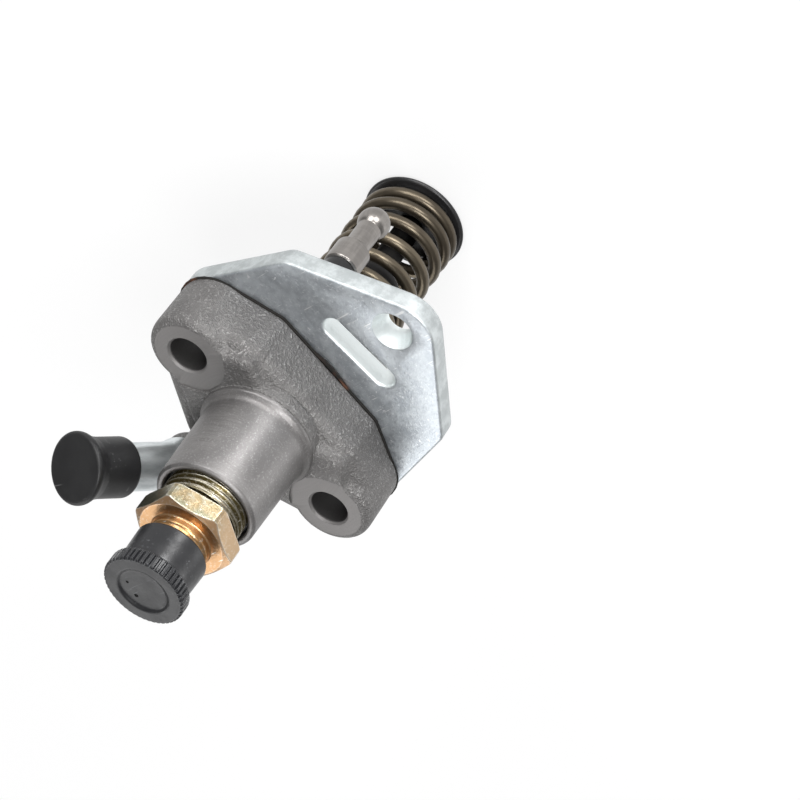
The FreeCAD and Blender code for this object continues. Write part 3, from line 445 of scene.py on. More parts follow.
def plate_zinc(graph):
    marks = use(graph, scuffs, Place=graph.place(), Scale=700.0)
    clouds = graph.noise(graph.place(), 300.0, 6.0, 0.72)
    fine = graph.noise(graph.place(), 1500.0, 3.0, 0.7)
    tone = graph.blend(graph.span(clouds, 0.35, 0.65), (0.45, 0.485, 0.52, 1), (0.62, 0.66, 0.69, 1))
    tone = graph.blend(graph.span(fine, 0.56, 0.7), tone, (0.74, 0.77, 0.79, 1))
    tone = graph.blend(marks["Specks"], tone, (0.82, 0.84, 0.86, 1))
    tone = graph.blend(marks["Scratches"], tone, (0.85, 0.87, 0.88, 1))
    rim = graph.blend(graph.span(clouds, 0.4, 0.62), (0.38, 0.405, 0.41, 1), (0.5, 0.53, 0.535, 1))
    # Painted highlight: upright walls near the slot, the slot's own and the countersink's, are painted
    # nearly white as if lit from above.
    from_slot = graph.vector("DISTANCE", graph.place(), (0.0, 0.024, 0.002), out=1)
    rim = graph.blend(graph.span(from_slot, 0.013, 0.011), rim, (0.74, 0.78, 0.78, 1))
    upright = upright_share(graph)
    tone = graph.blend(upright, tone, rim)
    rough = graph.lerp(upright, graph.span(clouds, 0.3, 0.7, 0.34, 0.46), 0.5)
    return {"Base Color": tone, "Metallic": graph.lerp(upright, 0.92, 0.75), "Roughness": rough,
            "Normal": graph.bump(graph.math("ADD", graph.math("MULTIPLY", clouds, 1.5), fine), 0.6, 0.00012)}


def pipe_zinc(graph):
    along = graph.noise(graph.vector("MULTIPLY", graph.place(), (1.0, 1.0, 0.3)), 500.0, 4.0, 0.65)
    pits = graph.span(graph.noise(graph.place(), 420.0, 3.0, 0.6), 0.3, 0.22)
    tone = graph.blend(graph.span(along, 0.35, 0.65), (0.55, 0.59, 0.6, 1), (0.74, 0.78, 0.79, 1))
    tone = graph.blend(pits, tone, (0.3, 0.32, 0.33, 1))
    return {"Base Color": tone, "Metallic": 0.92, "Roughness": 0.34,
            "Normal": graph.bump(along, 0.5, 0.00018)}


def edge_wear_and_sheen(graph, reach, none, full):
    """1 along sharp edges: rubbed plating, and also a painted highlight where the edges catch the light."""
    soft = graph.add("ShaderNodeBevel", 0, None, Radius=reach)
    true = graph.add("ShaderNodeNewGeometry", 1)
    return graph.span(graph.vector("DOT_PRODUCT", soft, true, out=1), none, full)


def yellow_zinc(graph):
    grain = use(graph, sand_grain, Place=graph.place(), Scale=1100.0)
    marks = use(graph, scuffs, Place=graph.place(), Scale=900.0)
    mottle = graph.noise(graph.place(), 320.0, 4.0, 0.7)
    hue = graph.noise(graph.place(), 130.0, 3.0, 0.6)
    upright = upright_share(graph)
    across = graph.vector("DOT_PRODUCT", graph.place(), (0.71, 0.7, 0.0), out=1)
    side = graph.blend(graph.span(hue, 0.4, 0.6), (0.29, 0.225, 0.13, 1), (0.2, 0.2, 0.14, 1))
    side = graph.blend(graph.span(mottle, 0.5, 0.68), side, (0.34, 0.335, 0.28, 1))
    side = graph.blend(graph.span(mottle, 0.42, 0.3), side, (0.16, 0.115, 0.06, 1))
    # Painted sheen: the flats facing +X+Y are painted a lighter peach, as they catch the light.
    side = graph.blend(graph.span(across, 0.0066, 0.0092), side, (0.46, 0.325, 0.2, 1))
    tone = graph.blend(upright, (0.47, 0.29, 0.16, 1), side)
    height = graph.add("ShaderNodeSeparateXYZ", 2, None, Vector=graph.place())
    # Painted shade: below 45.8 mm, in the recess under the hexagon and over the thread, the tone turns dark
    # olive.
    tone = graph.blend(graph.span(height, 0.0464, 0.0458), tone, (0.085, 0.066, 0.024, 1))
    tone = graph.blend(graph.span(height, 0.0514, 0.0516), tone, (0.42, 0.235, 0.1, 1))
    worn = graph.math("MAXIMUM", marks["Scratches"], graph.math("MULTIPLY", grain["Tips"], 0.25))
    # Edges lighten: partly rubbed plating, partly a painted edge highlight.
    edge = graph.math("MULTIPLY", edge_wear_and_sheen(graph, 0.0005, 0.99, 0.93),
                      graph.span(mottle, 0.3, 0.6, 0.4, 1.0))
    tone = graph.blend(graph.math("MAXIMUM", worn, edge), tone, (0.74, 0.71, 0.62, 1))
    return {"Base Color": tone, "Metallic": 0.95, "Roughness": graph.lerp(grain["Patches"], 0.28, 0.38),
            "Normal": graph.bump(graph.math("ADD", grain["Height"], mottle), 0.5, 0.00012)}


def spring_wire(graph):
    grain = use(graph, sand_grain, Place=graph.place(), Scale=900.0)
    tone = graph.blend(grain["Patches"], (0.088, 0.073, 0.054, 1), (0.15, 0.125, 0.09, 1))
    return {"Base Color": tone, "Metallic": 0.9, "Roughness": 0.33,
            "Normal": graph.bump(grain["Height"], 0.2, 0.00008)}


def satin_steel(graph):
    lines = use(graph, turning_lines, Place=graph.place(), Scale=1500.0)
    streaks = graph.noise(graph.vector("MULTIPLY", graph.place(), (1.0, 1.0, 0.2)), 500.0, 3.0, 0.6)
    tone = graph.blend(lines["Tone"], (0.29, 0.272, 0.256, 1), (0.33, 0.31, 0.293, 1))
    tone = graph.blend(graph.span(streaks, 0.42, 0.62), graph.blend(0.4, tone, (0.16, 0.15, 0.142, 1)), tone)
    return {"Base Color": tone, "Metallic": 1.0, "Roughness": 0.29,
            "Normal": graph.bump(streaks, 0.3, 0.00012)}


def ground_steel(graph):
    lines = use(graph, turning_lines, Place=graph.place(), Scale=3200.0)
    tone = graph.blend(lines["Tone"], (0.42, 0.42, 0.42, 1), (0.5, 0.5, 0.5, 1))
    return {"Base Color": tone, "Metallic": 1.0, "Roughness": 0.24,
            "Normal": graph.bump(lines["Height"], 0.15, 0.00003)}


# Steel painted dark so that the plunger shows as painted shade between the spring's coils.
def oiled_steel(graph):
    grain = use(graph, sand_grain, Place=graph.place(), Scale=900.0)
    tone = graph.blend(grain["Patches"], (0.05, 0.049, 0.048, 1), (0.085, 0.084, 0.082, 1))
    return {"Base Color": tone, "Metallic": 1.0, "Roughness": 0.3}


def black_steel(graph):
    grain = use(graph, sand_grain, Place=graph.place(), Scale=900.0)
    tone = graph.blend(grain["Patches"], (0.02, 0.02, 0.021, 1), (0.036, 0.035, 0.035, 1))
    # Edges lighten to grey: partly worn blacking, partly a painted edge highlight.
    tone = graph.blend(edge_wear_and_sheen(graph, 0.0004, 0.985, 0.88), tone, (0.34, 0.34, 0.35, 1))
    return {"Base Color": tone, "Metallic": 0.5, "Roughness": 0.36, "Specular IOR Level": 0.5,
            "Normal": graph.bump(grain["Height"], 0.2, 0.0001)}


def gasket_fibre(graph):
    grain = use(graph, sand_grain, Place=graph.place(), Scale=800.0)
    rust = graph.span(graph.noise(graph.place(), 90.0, 3.0, 0.6), 0.6, 0.72)
    tone = graph.blend(rust, (0.012, 0.011, 0.01, 1), (0.075, 0.032, 0.018, 1))
    return {"Base Color": tone, "Roughness": 0.85, "Specular IOR Level": 0.2,
            "Normal": graph.bump(grain["Height"], 0.6, 0.0002)}


def black_plastic(graph):
    marks = use(graph, scuffs, Place=graph.place(), Scale=800.0)
    worn = graph.math("MAXIMUM", marks["Scratches"], graph.math("MULTIPLY", marks["Specks"], 0.4))
    tone = graph.blend(worn, (0.0105, 0.0107, 0.012, 1), (0.05, 0.052, 0.056, 1))
    # Edges lighten: partly rubbed, partly a painted edge highlight.
    edge = graph.math("MULTIPLY", edge_wear_and_sheen(graph, 0.0003, 0.97, 0.8), 0.6)
    tone = graph.blend(edge, tone, (0.09, 0.092, 0.097, 1))
    clouds = graph.noise(graph.place(), 260.0, 3.0, 0.6)
    return {"Base Color": tone, "Roughness": graph.span(clouds, 0.3, 0.7, 0.3, 0.42),
            "Specular IOR Level": 0.36, "Normal": graph.bump(clouds, 0.35, 0.0003)}


def black_rubber(graph):
    marks = use(graph, scuffs, Place=graph.place(), Scale=500.0)
    grain = use(graph, sand_grain, Place=graph.place(), Scale=1200.0)
    tone = graph.blend(grain["Patches"], (0.007, 0.007, 0.0075, 1), (0.012, 0.012, 0.0125, 1))
    tone = graph.blend(graph.math("MULTIPLY", marks["Scratches"], 0.5), tone, (0.12, 0.12, 0.12, 1))
    return {"Base Color": tone, "Roughness": 0.46, "Specular IOR Level": 0.35,
            "Normal": graph.bump(grain["Height"], 0.15, 0.0001)}


def dent_shade(graph):
    return {"Base Color": (0.006, 0.006, 0.006, 1), "Roughness": 0.9, "Specular IOR Level": 0.1}


def soft_copper(graph):
    return {"Base Color": (0.6, 0.3, 0.2, 1), "Metallic": 1.0, "Roughness": 0.35,
            "Normal": graph.bump(graph.noise(graph.place(), 900.0), 0.15, 0.0001)}


CAST_SKIN = finish_of("cast_skin", cast_skin)
CAST_FACED = finish_of("cast_faced", cast_faced)
CAST_TURNED = finish_of("cast_turned", cast_turned)
PLATE_ZINC = finish_of("plate_zinc", plate_zinc)
PIPE_ZINC = finish_of("pipe_zinc", pipe_zinc)
YELLOW_ZINC = finish_of("yellow_zinc", yellow_zinc)
SPRING_WIRE = finish_of("spring_wire", spring_wire)
SATIN_STEEL = finish_of("satin_steel", satin_steel)
GROUND_STEEL = finish_of("ground_steel", ground_steel)
SHADE_DARK_STEEL = finish_of("oiled_steel", oiled_steel)
BLACK_STEEL = finish_of("black_steel", black_steel)
GASKET = finish_of("gasket_fibre", gasket_fibre)
BLACK_PLASTIC = finish_of("black_plastic", black_plastic)
BLACK_RUBBER = finish_of("black_rubber", black_rubber)
SOFT_COPPER = finish_of("soft_copper", soft_copper)
DENT_SHADE = finish_of("dent_shade", dent_shade)

NODE_FINISH = {
    "pump_body": CAST_SKIN, "flange_plate": PLATE_ZINC, "flange_gasket": GASKET,
    "plunger_barrel": GROUND_STEEL, "barrel_ring": BLACK_RUBBER, "barrel_pin": GROUND_STEEL,
    # The plunger's dark steel is painted shade inside the spring; the real plunger is bright ground steel.
    "plunger": SHADE_DARK_STEEL, "control_sleeve": BLACK_STEEL, "control_arm": BLACK_STEEL,
    "ball_pin": SATIN_STEEL, "upper_spring_seat": BLACK_STEEL, "lower_spring_seat": BLACK_STEEL,
    "plunger_spring": SPRING_WIRE, "delivery_valve_seat": GROUND_STEEL,
    "delivery_valve": GROUND_STEEL, "delivery_valve_spring": SPRING_WIRE,
    "volume_reducer": SATIN_STEEL, "sealing_washer": SOFT_COPPER,
    "delivery_valve_holder": YELLOW_ZINC, "holder_ring": BLACK_RUBBER,
    "outlet_cap": BLACK_PLASTIC, "inlet_pipe": PIPE_ZINC, "inlet_cap": BLACK_RUBBER,
}
for name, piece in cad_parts.items():
    piece.data.materials.clear()
    piece.data.materials.append(NODE_FINISH[name])


# plate

PLATE = [(-4.2, -21.2, 5), (4.2, -21.2, 5), (32.3, -5.4, 8.8), (24.5, 24.4, 4.5),
         (0, 45.1, 8), (-24.5, 24.4, 4.5), (-32.3, -5.4, 8.8)]
HOLE_X, HOLE_RADIUS, PILOT_BORE = 21.73, 4.2, 14.05


def flange_holes():
    """Outlines of the two fixing holes and of the bore round the pilot."""
    return [ring_points(HOLE_X, 0, HOLE_RADIUS), ring_points(-HOLE_X, 0, HOLE_RADIUS),
            ring_points(0, 0, PILOT_BORE, 128)]


PLATE_HOLES = flange_holes() + [slot_points(-0.3, 22.95, 7.0, 2.45, 5.0)]
plate_blank = draft_object(slab("plate", corner_arcs(PLATE), PLATE_HOLES, 0, 5, 0.7))
countersink = turned_mesh("countersink", [
    (0, -1), (3.15, -1), (3.15, -0.02), (2.9, 0.25), (2.9, 1.45), (3.05, 1.75), (4.2, 4.4),
    (4.45, 4.85), (4.9, 5.02), (4.9, 7), (0, 7)], 96)
countersink.transform(Matrix.Translation((-1.2 * MM, 34.3 * MM, 0)))
plate_mesh = with_modifiers(plate_blank, cut_from(plate_blank, countersink))
plate = settle(plate_mesh, "plate", PLATE_ZINC, "housing", 30)
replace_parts(plate, "flange_plate")

# casting

FLANGE = [(-7, -19.9, 4), (7, -19.9, 4), (40.3, 0.8, 8.9), (14.4, 13.5, 2.5), (-14.4, 13.5, 2.5),
          (-40.3, 0.8, 8.9)]
CROWN = [
    (-9, -13), (9, -13), (20.5, -6), (20.5, 6.4), (14.2, 12.9), (8.8, 10.6), (-8.8, 10.6), (-14.2, 12.9),
    (-20.5, 6.4), (-20.5, -6)]
SPOT_RADIUS, SPOT_TOP = 8.8, 19.2
INLET_ROOT = Vector((-3.9, -17.6, 26.0))
INLET_LEAN = Matrix.Rotation(math.radians(170), 4, "Z") @ Matrix.Rotation(math.radians(39.8), 4, "Y")
INLET_PLACE = Matrix.Translation(INLET_ROOT * MM) @ INLET_LEAN


def rough_casting():
    """The sand-cast shape: flange, bosses, neck base and inlet boss melted together."""
    parts = [draft_object(slab("flange_blank", corner_arcs(FLANGE), [], 3.0, 17.6, 3.0, 5))]
    for side in (1, -1):
        boss = turned_mesh("boss_blank", [
            (0, 3.5), (9.15, 3.5), (9.15, 17.4), (8.9, 18.4), (8.3, 19.0), (7.4, 19.3), (0, 19.3)])
        boss.transform(Matrix.Translation((side * HOLE_X * MM, 0, 0)))
        parts.append(draft_object(boss))
    parts.append(draft_object(slab("crown_blank", CROWN, [], 4.0, 19.8, 1.3, 4)))
    inlet = turned_mesh("inlet_blank", [(0, -15), (6.9, -15), (6.9, -0.8), (6.1, 0), (0, 0)])
    inlet.transform(INLET_PLACE)
    parts.append(draft_object(inlet))
    foot = turned_mesh("inlet_foot", [(0, 4.0), (6.9, 4.0), (6.9, 15.6), (0, 15.6)])
    foot.transform(Matrix.Translation((3.6 * MM, -16.4 * MM, 0)))
    parts.append(draft_object(foot))
    joined = bmesh.new()
    for part in parts:
        joined.from_mesh(part.data)
        bpy.data.objects.remove(part)
    mesh = bpy.data.meshes.new("casting_blank")
    joined.to_mesh(mesh)
    joined.free()
    blank = draft_object(mesh)
    step = blank.modifiers.new("melt", "REMESH")
    step.mode = "VOXEL"
    step.voxel_size = 0.45 * MM
    step = blank.modifiers.new("soften", "SMOOTH")
    step.factor = 0.5
    step.iterations = 9
    cutters = []
    bottom = turned_mesh("bottom_cut", [(0, -2), (60, -2), (60, 5.6), (0, 5.6)], 24)
    cutters.append(cut_from(blank, bottom))
    cutters.append(cut_from(blank, turned_mesh("neck_cut", [(0, 2), (11.6, 2), (11.6, 30), (0, 30)], 96)))
    for side in (1, -1):
        face = turned_mesh("spot_cut", [
            (0, 2), (HOLE_RADIUS, 2), (HOLE_RADIUS, 18.75), (4.6, SPOT_TOP), (SPOT_RADIUS, SPOT_TOP),
            (SPOT_RADIUS, 24), (0, 24)], 96)
        face.transform(Matrix.Translation((side * HOLE_X * MM, 0, 0)))
        cutters.append(cut_from(blank, face))
    return with_modifiers(blank, *cutters)


casting = settle(rough_casting(), "casting", CAST_SKIN, "housing", 40)
casting.data.materials.append(CAST_FACED)
for face in casting.data.polygons:
    x, y, z = face.center / MM
    reach = math.hypot(abs(x) - HOLE_X, y)
    if reach < 4.7 or reach < 8.9 and face.normal.z > 0.99 and abs(z - SPOT_TOP) < 0.05:
        face.material_index = 1
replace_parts(casting, "pump_body")

turned_piece("neck", [
    (9.0, 28.0), (9.0, 38.4), (9.55, 38.4), (9.55, 41.7), (9.9, 42.0), (10.5, 42.0), (11.1, 41.4),
    (11.5, 23.2), (11.58, 22.3), (11.85, 21.6), (12.3, 21.15), (12.65, 20.85), (12.8, 20.5), (12.82, 19.6)],
    CAST_TURNED, "housing", "casting", 0.25)
turned_piece("neck_base", [
    (12.3, 20.0), (12.9, 20.0), (13.2, 19.7), (13.35, 17.1), (13.1, 16.8), (12.0, 16.8)],
    CAST_SKIN, "housing", "casting", 0.15)


# The drawn window opens 61 degrees to each side of the arm. The solid's opens 58, which the arm
# just touches at the ends of its swing.
ARM_TURN, WINDOW_HALF, WINDOW_REACH = 122.5, 61.0, 22.0


def skirt_mesh():
    """Pilot and skirt below the plate, open on the side where the control arm swings."""
    ring = turned_mesh("skirt_ring", [
        (6.0, 5.5), (6.0, -4.4), (11.6, -4.4), (11.6, -13.6), (11.9, -13.9), (13.7, -13.9), (14.0, -13.6),
        (14.0, 5.5), (6.0, 5.5)], 144)
    skirt = draft_object(ring)
    a, b, c = (math.radians(ARM_TURN + d) for d in (-WINDOW_HALF, WINDOW_HALF, 0))
    near, far = WINDOW_REACH, 1.6 * WINDOW_REACH
    wedge = [(0, 0), (near * math.cos(a), near * math.sin(a)), (far * math.cos(c), far * math.sin(c)),
             (near * math.cos(b), near * math.sin(b))]
    vertices = [(x, y, z) for z in (-16, -4.4) for x, y in wedge]
    faces = [(3, 2, 1, 0), (4, 5, 6, 7)] + [(i, (i + 1) % 4, 4 + (i + 1) % 4, 4 + i) for i in range(4)]
    return with_modifiers(skirt, cut_from(skirt, bare_mesh("window_cut", vertices, faces)))


settle(skirt_mesh(), "skirt", CAST_TURNED, "housing", 35)

gasket_outline = [(-7.25, -20.15, 4), (7.25, -20.15, 4), (40.55, 0.8, 8.9), (14.4, 13.75, 2.5),
                  (-14.4, 13.75, 2.5), (-40.55, 0.8, 8.9)]
gasket_mesh = slab("gasket", corner_arcs(gasket_outline), flange_holes(), 5.0, 5.6, 0.08, 2)
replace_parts(settle(gasket_mesh, "gasket", GASKET, "housing"), "flange_gasket")

# delivery valve holder

HEX_FLATS, HEX_TURN, HEX_LOW, HEX_TOP = 19.0, 28.7, 46.6, 51.5


def hexagon_radius(angle, rounding=0.25):
    """Distance from the axis to the hexagon's side, with its corners slightly blunted."""
    local = (math.degrees(angle) - HEX_TURN) % 60 - 30
    side = HEX_FLATS / 2 / math.cos(math.radians(local))
    return min(side, HEX_FLATS / math.sqrt(3) - rounding)


def hexagon():
    columns = 360
    top_circle, low_circle = 9.15, 10.3
    slope = math.tan(math.radians(30))
    rows = []
    for j in range(columns):
        angle = 2 * math.pi * j / columns
        r = hexagon_radius(angle)
        down = max(0.0, r - top_circle) * slope
        up = max(0.0, r - low_circle) * slope
        rows.append([(6.4, HEX_TOP), (top_circle - 0.25, HEX_TOP), (min(r, top_circle), HEX_TOP - 0.02),
                     (r - 0.06, HEX_TOP - down), (r, HEX_TOP - down - 0.1), (r, HEX_LOW + up + 0.1),
                     (r - 0.06, HEX_LOW + up), (min(r, low_circle), HEX_LOW), (7.6, HEX_LOW)])
    vertices = []
    for i in range(len(rows[0])):
        for j in range(columns):
            angle = 2 * math.pi * j / columns
            r, z = rows[j][i]
            vertices.append((r * math.cos(angle), r * math.sin(angle), z))
    return vertices, turned_faces(len(rows[0]), columns, False)


holder = place(*hexagon(), "holder_hexagon", YELLOW_ZINC, "housing", "yellow_zinc", 18)
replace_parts(holder, "delivery_valve_holder")


def thread(name, crest, root, pitch, low, high, material, body, slot_name, fade=1.0, columns=72):
    """A V thread drawn as a cylinder whose radius rises and falls along a helix."""
    rows = int((high - low) / pitch * 12)
    vertices = []
    for i in range(rows + 1):
        z = low + (high - low) * i / rows
        share = min(1.0, (z - low) / fade, (high - z) / fade)
        for j in range(columns):
            angle = 2 * math.pi * j / columns
            wave = abs(((z / pitch - angle / (2 * math.pi)) % 1.0) - 0.5) * 2
            wave = min(max((wave - 0.1) / 0.8, 0), 1)
            r = crest - (crest - root) * wave * share - (1 - share) * (crest - root) * 0.4
            vertices.append((r * math.cos(angle), r * math.sin(angle), z))
    return place(vertices, turned_faces(rows + 1, columns, False), name, material, body, slot_name, 50)


thread("holder_thread", 8.95, 8.2, 1.5, 30.0, 45.3, YELLOW_ZINC, "housing", "yellow_zinc", 0.6, 96)
turned_piece("holder_undercut", [(8.2, 43.5), (8.2, 46.7)], YELLOW_ZINC, "housing", "yellow_zinc", 0.1)
turned_piece("outlet_stub", [
    (6.9, 51.4), (6.55, 51.7), (6.5, 53.0), (6.1, 53.4), (5.9, 54.2), (5.9, 61.6), (5.2, 62.4),
    (3.6, 62.4), (1.0, 57.9), (1.0, 56.0)], YELLOW_ZINC, "housing", "yellow_zinc", 0.3)
thread("outlet_thread", 6.42, 5.9, 1.5, 54.6, 61.8, YELLOW_ZINC, "housing", "yellow_zinc")

# outlet cap

RIBS = 48


def rib(r, z, angle):
    """Knurled edge of the cap's disc."""
    if r < 8.2 or not 62.9 < z < 66.4:
        return r, z
    wave = abs((angle * RIBS / (2 * math.pi)) % 1.0 - 0.5) * 2
    depth = 0.55 * min(max((wave - 0.4) / 0.3, 0), 1)
    return r - depth * min(1.0, (r - 8.2) / 0.3), z


outlet_cap = turned_piece("outlet_cap_shell", [
    (6.5, 57.0), (6.5, 54.95), (7.5, 54.9), (7.7, 55.3), (7.62, 58.0), (7.5, 61.2), (7.55, 62.6),
    (7.9, 63.0), (8.4, 63.02), (8.6, 63.25), (8.65, 63.5), (8.65, 65.8), (8.55, 66.1), (8.2, 66.3),
    (5.9, 66.3), (5.6, 66.2), (5.1, 65.8), (4.7, 65.72), (0.01, 65.7)],
    BLACK_PLASTIC, "outlet_cap", "cap_plastic", 0.22, RIBS * 10, rib, 38)
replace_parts(outlet_cap, "outlet_cap")
# Two small dark discs on the cap's face: painted shade of two dents.
for x, y, reach in ((-2.9, -2.2, 0.3), (0.5, -3.2, 0.42)):
    mark = turned_piece("cap_mark", [(reach + 0.06, 65.7), (reach, 65.74), (0.01, 65.74)],
                        DENT_SHADE, None, None, 0.02, 24)
    mark.location = (x * MM, y * MM, 0)
    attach(mark, "outlet_cap")

# inlet pipe and its cap

pipe = turned_piece("pipe", [
    (3.6, 26.5), (3.75, 26.6), (4.7, 26.6), (5.0, 26.2), (5.0, 5.2), (5.1, 4.0), (5.5, 2.8),
    (5.85, 1.6), (5.9, 0.2), (5.9, 0.0), (5.0, 0.0)], PIPE_ZINC, None, None, 0.3)
pipe.matrix_world = INLET_PLACE
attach(pipe, "housing")
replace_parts(pipe, "inlet_pipe")

cap = turned_piece("inlet_cap_shell", [
    (5.05, 18.0), (5.05, 16.02), (5.5, 16.0), (6.0, 16.05), (6.25, 16.6), (6.22, 22.8), (6.35, 24.6),
    (6.9, 26.2), (7.3, 27.0), (7.42, 27.4), (7.42, 27.9), (7.25, 28.25), (6.9, 28.45), (6.5, 28.5),
    (0.01, 28.46)],
    BLACK_RUBBER, None, None, 0.35)
cap.matrix_world = INLET_PLACE
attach(cap, "inlet_cap")
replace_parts(cap, "inlet_cap")

# ball pin and its arm

ARM_ANGLE, ARM_REACH = math.radians(ARM_TURN), 25.2
PIN_SPOT = Vector((ARM_REACH * math.cos(ARM_ANGLE), ARM_REACH * math.sin(ARM_ANGLE), 0))
PIN_PLACE = Matrix.Translation(PIN_SPOT * MM)


def ball_profile():
    points = [(0.01, -4.75), (2.0, -4.8), (2.0, -8.0), (3.5, -8.0), (3.85, -8.4), (3.85, -14.1),
              (3.45, -14.6), (2.65, -14.6)]
    centre, radius, neck = -23.9, 3.5, 2.65
    start = math.asin(neck / radius)
    for i in range(25):
        a = start + (math.pi - 0.004 - start) * i / 24
        points.append((radius * math.sin(a), centre + radius * math.cos(a)))
    return points


pin = place(*turned(soften(ball_profile(), 0.12, 3), 96), "pin", SATIN_STEEL, None, None, 30)
pin.matrix_world = PIN_PLACE
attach(pin, "control")
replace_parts(pin, "ball_pin")


def arm_outline():
    hub, end = 9.0, 3.5
    tilt = math.asin((hub - end) / ARM_REACH)
    out = []
    for i in range(33):
        a = math.pi / 2 - tilt + (math.pi + 2 * tilt) * i / 32
        out.append((hub * math.cos(a), hub * math.sin(a)))
    for i in range(17):
        a = -math.pi / 2 + tilt + (math.pi - 2 * tilt) * i / 16
        out.append((ARM_REACH + end * math.cos(a), end * math.sin(a)))
    turn = Matrix.Rotation(ARM_ANGLE, 2)
    return [tuple(turn @ Vector(p)) for p in out]


arm_mesh = slab("arm", arm_outline(), [ring_points(0, 0, 7.0)], -8.0, -4.8, 0.3, 3)
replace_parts(settle(arm_mesh, "arm", BLACK_STEEL, "control"), "control_arm")

# plunger spring and seats

def coil(mean, wire, low, high, pitch, close, start, sides=20, per_turn=40):
    """A right-handed coil whose end turns lie closed and open out slowly."""
    first, last = low + wire, high - wire
    closed, easing = 0.5, 1.9
    turns = (last - first + (2 * closed + easing) * (pitch - close)) / pitch
    steps = int(turns * per_turn)
    heights = [0.0]
    for i in range(steps):
        turn = (i + 0.5) / steps * turns
        share = min(max((min(turn, turns - turn) - closed) / easing, 0), 1)
        heights.append(heights[-1] + close + (pitch - close) * share)
    scale = (last - first) / heights[-1]
    vertices, faces = [], []
    for i, height in enumerate(heights):
        a = math.radians(start) + 2 * math.pi * turns * i / steps
        for j in range(sides):
            b = 2 * math.pi * j / sides
            r = mean + wire * math.cos(b)
            z = first + height * scale + wire * math.sin(b)
            vertices.append((r * math.cos(a), r * math.sin(a), min(max(z, low), high)))
    for i in range(steps):
        for j in range(sides):
            k = (j + 1) % sides
            faces.append((i * sides + j, i * sides + k, (i + 1) * sides + k, (i + 1) * sides + j))
    faces.append(tuple(range(sides))[::-1])
    faces.append(tuple(steps * sides + j for j in range(sides)))
    return vertices, faces


SPRING_LOW, SPRING_TOP = -54.3, -16.0
spring = place(*coil(10.25, 1.42, SPRING_LOW, SPRING_TOP, 6.2, 2.9, -30.0), "spring", SPRING_WIRE,
               "housing", "spring_steel", 50)
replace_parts(spring, "plunger_spring")
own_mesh(spring)


def lower_seat_mesh():
    """Slotted disc that hooks under the plunger's foot."""
    disc = turned_mesh("seat_disc", soften([
        (3.15, -55.6), (11.5, -55.6), (12.1, -55.1), (12.1, -54.7), (11.75, -54.3), (8.65, -54.3),
        (8.25, -52.9), (3.15, -52.9), (3.15, -55.6)], 0.25), 144)
    seat = draft_object(disc)
    pocket = turned_mesh("foot_cut", [(0, -57), (5.35, -57), (5.35, -54.0), (0, -54.0)], 64)
    bpy.ops.mesh.primitive_cube_add(size=1)
    entry = bpy.context.object
    entry.data.transform(Matrix.Translation((0, -0.5, 0)))
    entry.data.transform(Matrix.Diagonal((6.3 * MM, 16 * MM, 12 * MM, 1)))
    entry.data.transform(Matrix.Translation((0, 0, -54 * MM)))
    box_mesh = entry.data.copy()
    bpy.data.objects.remove(entry)
    return with_modifiers(seat, cut_from(seat, pocket), cut_from(seat, box_mesh))


seat = settle(lower_seat_mesh(), "spring_seat", BLACK_STEEL, "plunger", 30)
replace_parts(seat, "lower_spring_seat")

# floor and light

def studio_white(graph_tree):
    """Pale floor that shows white to the camera and in reflections but keeps shadows."""
    graph = Graph(graph_tree)
    graph_tree.nodes.clear()
    diffuse = graph.add("ShaderNodeBsdfDiffuse", 0, None, Color=(0.82, 0.82, 0.82, 1))
    glow = graph.add("ShaderNodeEmission", 0, None, Color=(1, 1, 1, 1), Strength=1.0)
    rays = graph_tree.nodes.new("ShaderNodeLightPath")
    seen = graph.math("MAXIMUM", rays.outputs["Is Camera Ray"], rays.outputs["Is Glossy Ray"])
    seen = graph.math("MAXIMUM", seen, rays.outputs["Is Transmission Ray"])
    share = graph.math("MULTIPLY", seen, 0.75)
    mix = graph_tree.nodes.new("ShaderNodeMixShader")
    graph_tree.links.new(share, mix.inputs[0])
    graph_tree.links.new(diffuse, mix.inputs[1])
    graph_tree.links.new(glow, mix.inputs[2])
    last = graph_tree.nodes.new("ShaderNodeOutputMaterial")
    graph_tree.links.new(mix.outputs[0], last.inputs[0])


floor_finish = bpy.data.materials.new("studio_floor")
floor_finish.use_nodes = True
studio_white(floor_finish.node_tree)
bpy.ops.mesh.primitive_plane_add(size=8, location=(0, 0, cad_box[0][2] - 0.0002))
floor = bpy.context.object
floor.name = "floor"
floor.data.materials.append(floor_finish)

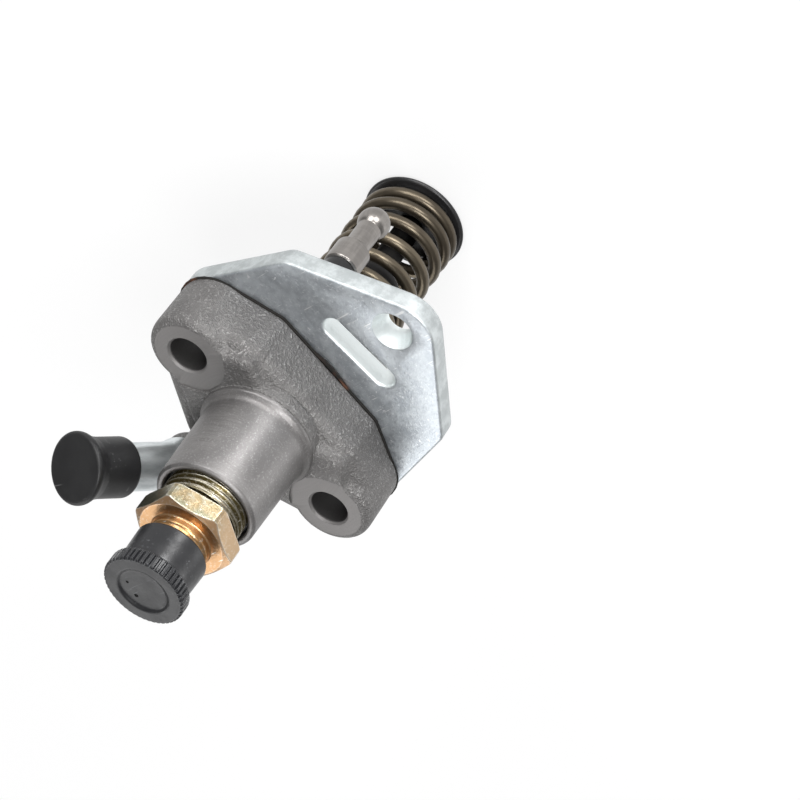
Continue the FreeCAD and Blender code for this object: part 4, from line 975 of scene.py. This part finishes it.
# The camera stands above the outlet end, rolled as the pump lies in the picture.
RIGHT = Vector((0.642754, 0.634643, -0.429065))
UP = Vector((-0.716572, 0.300008, -0.629698))
BACK = Vector((-0.270910, 0.712196, 0.647599))
EYE = Vector((-0.112951, 0.352978, 0.305183))
FOCAL_PIXELS, PICTURE_PIXELS, SENSOR = 2300, 800, 36
lens = bpy.data.cameras.new("camera")
lens.sensor_width = SENSOR
lens.lens = FOCAL_PIXELS * SENSOR / PICTURE_PIXELS
lens.clip_start = 0.01
camera = bpy.data.objects.new("camera", lens)
camera.matrix_world = Matrix((
    (RIGHT.x, UP.x, BACK.x, EYE.x), (RIGHT.y, UP.y, BACK.y, EYE.y),
    (RIGHT.z, UP.z, BACK.z, EYE.z), (0, 0, 0, 1)))
bpy.context.scene.collection.objects.link(camera)
bpy.context.scene.camera = camera


def softbox(name, spot, aim, size, power, spread=180):
    """A round area lamp at a spot, aimed at a point of the pump; both in millimetres."""
    lamp = bpy.data.lights.new(name, "AREA")
    lamp.shape = "DISK"
    lamp.size = size * MM
    lamp.energy = power
    lamp.spread = math.radians(spread)
    stand = bpy.data.objects.new(name, lamp)
    stand.location = Vector(spot) * MM
    stand.rotation_euler = Vector([a - b for a, b in zip(spot, aim)]).to_track_quat("Z", "Y").to_euler()
    stand.visible_camera = False
    bpy.context.scene.collection.objects.link(stand)


softbox("front_box", (-287, 742, 88), (0, 0, 0), 350, 3.6)
softbox("side_box", (-637, 438, 199), (0, 0, 0), 450, 3.6)
softbox("back_box", (400, -490, 490), (0, 0, 0), 700, 2.6)
softbox("left_box", (-80, -590, 525), (0, 0, 0), 350, 1.0)
softbox("top_box", (0, 500, 620), (0, 0, 0), 300, 4.8)
softbox("low_left_lamp", (-44, 112, -32), (-4, 8, 72), 44, 0.0065, 38)
softbox("low_right_lamp", (95, 75, -32), (4, 12, 58), 60, 0.004, 70)

world = bpy.data.worlds.new("studio")
world.use_nodes = True
bpy.context.scene.world = world
world.node_tree.nodes["Background"].inputs[0].default_value = (1, 1, 1, 1)
world.node_tree.nodes["Background"].inputs[1].default_value = 0.3

view = bpy.context.scene.view_settings
view.view_transform = "Standard"
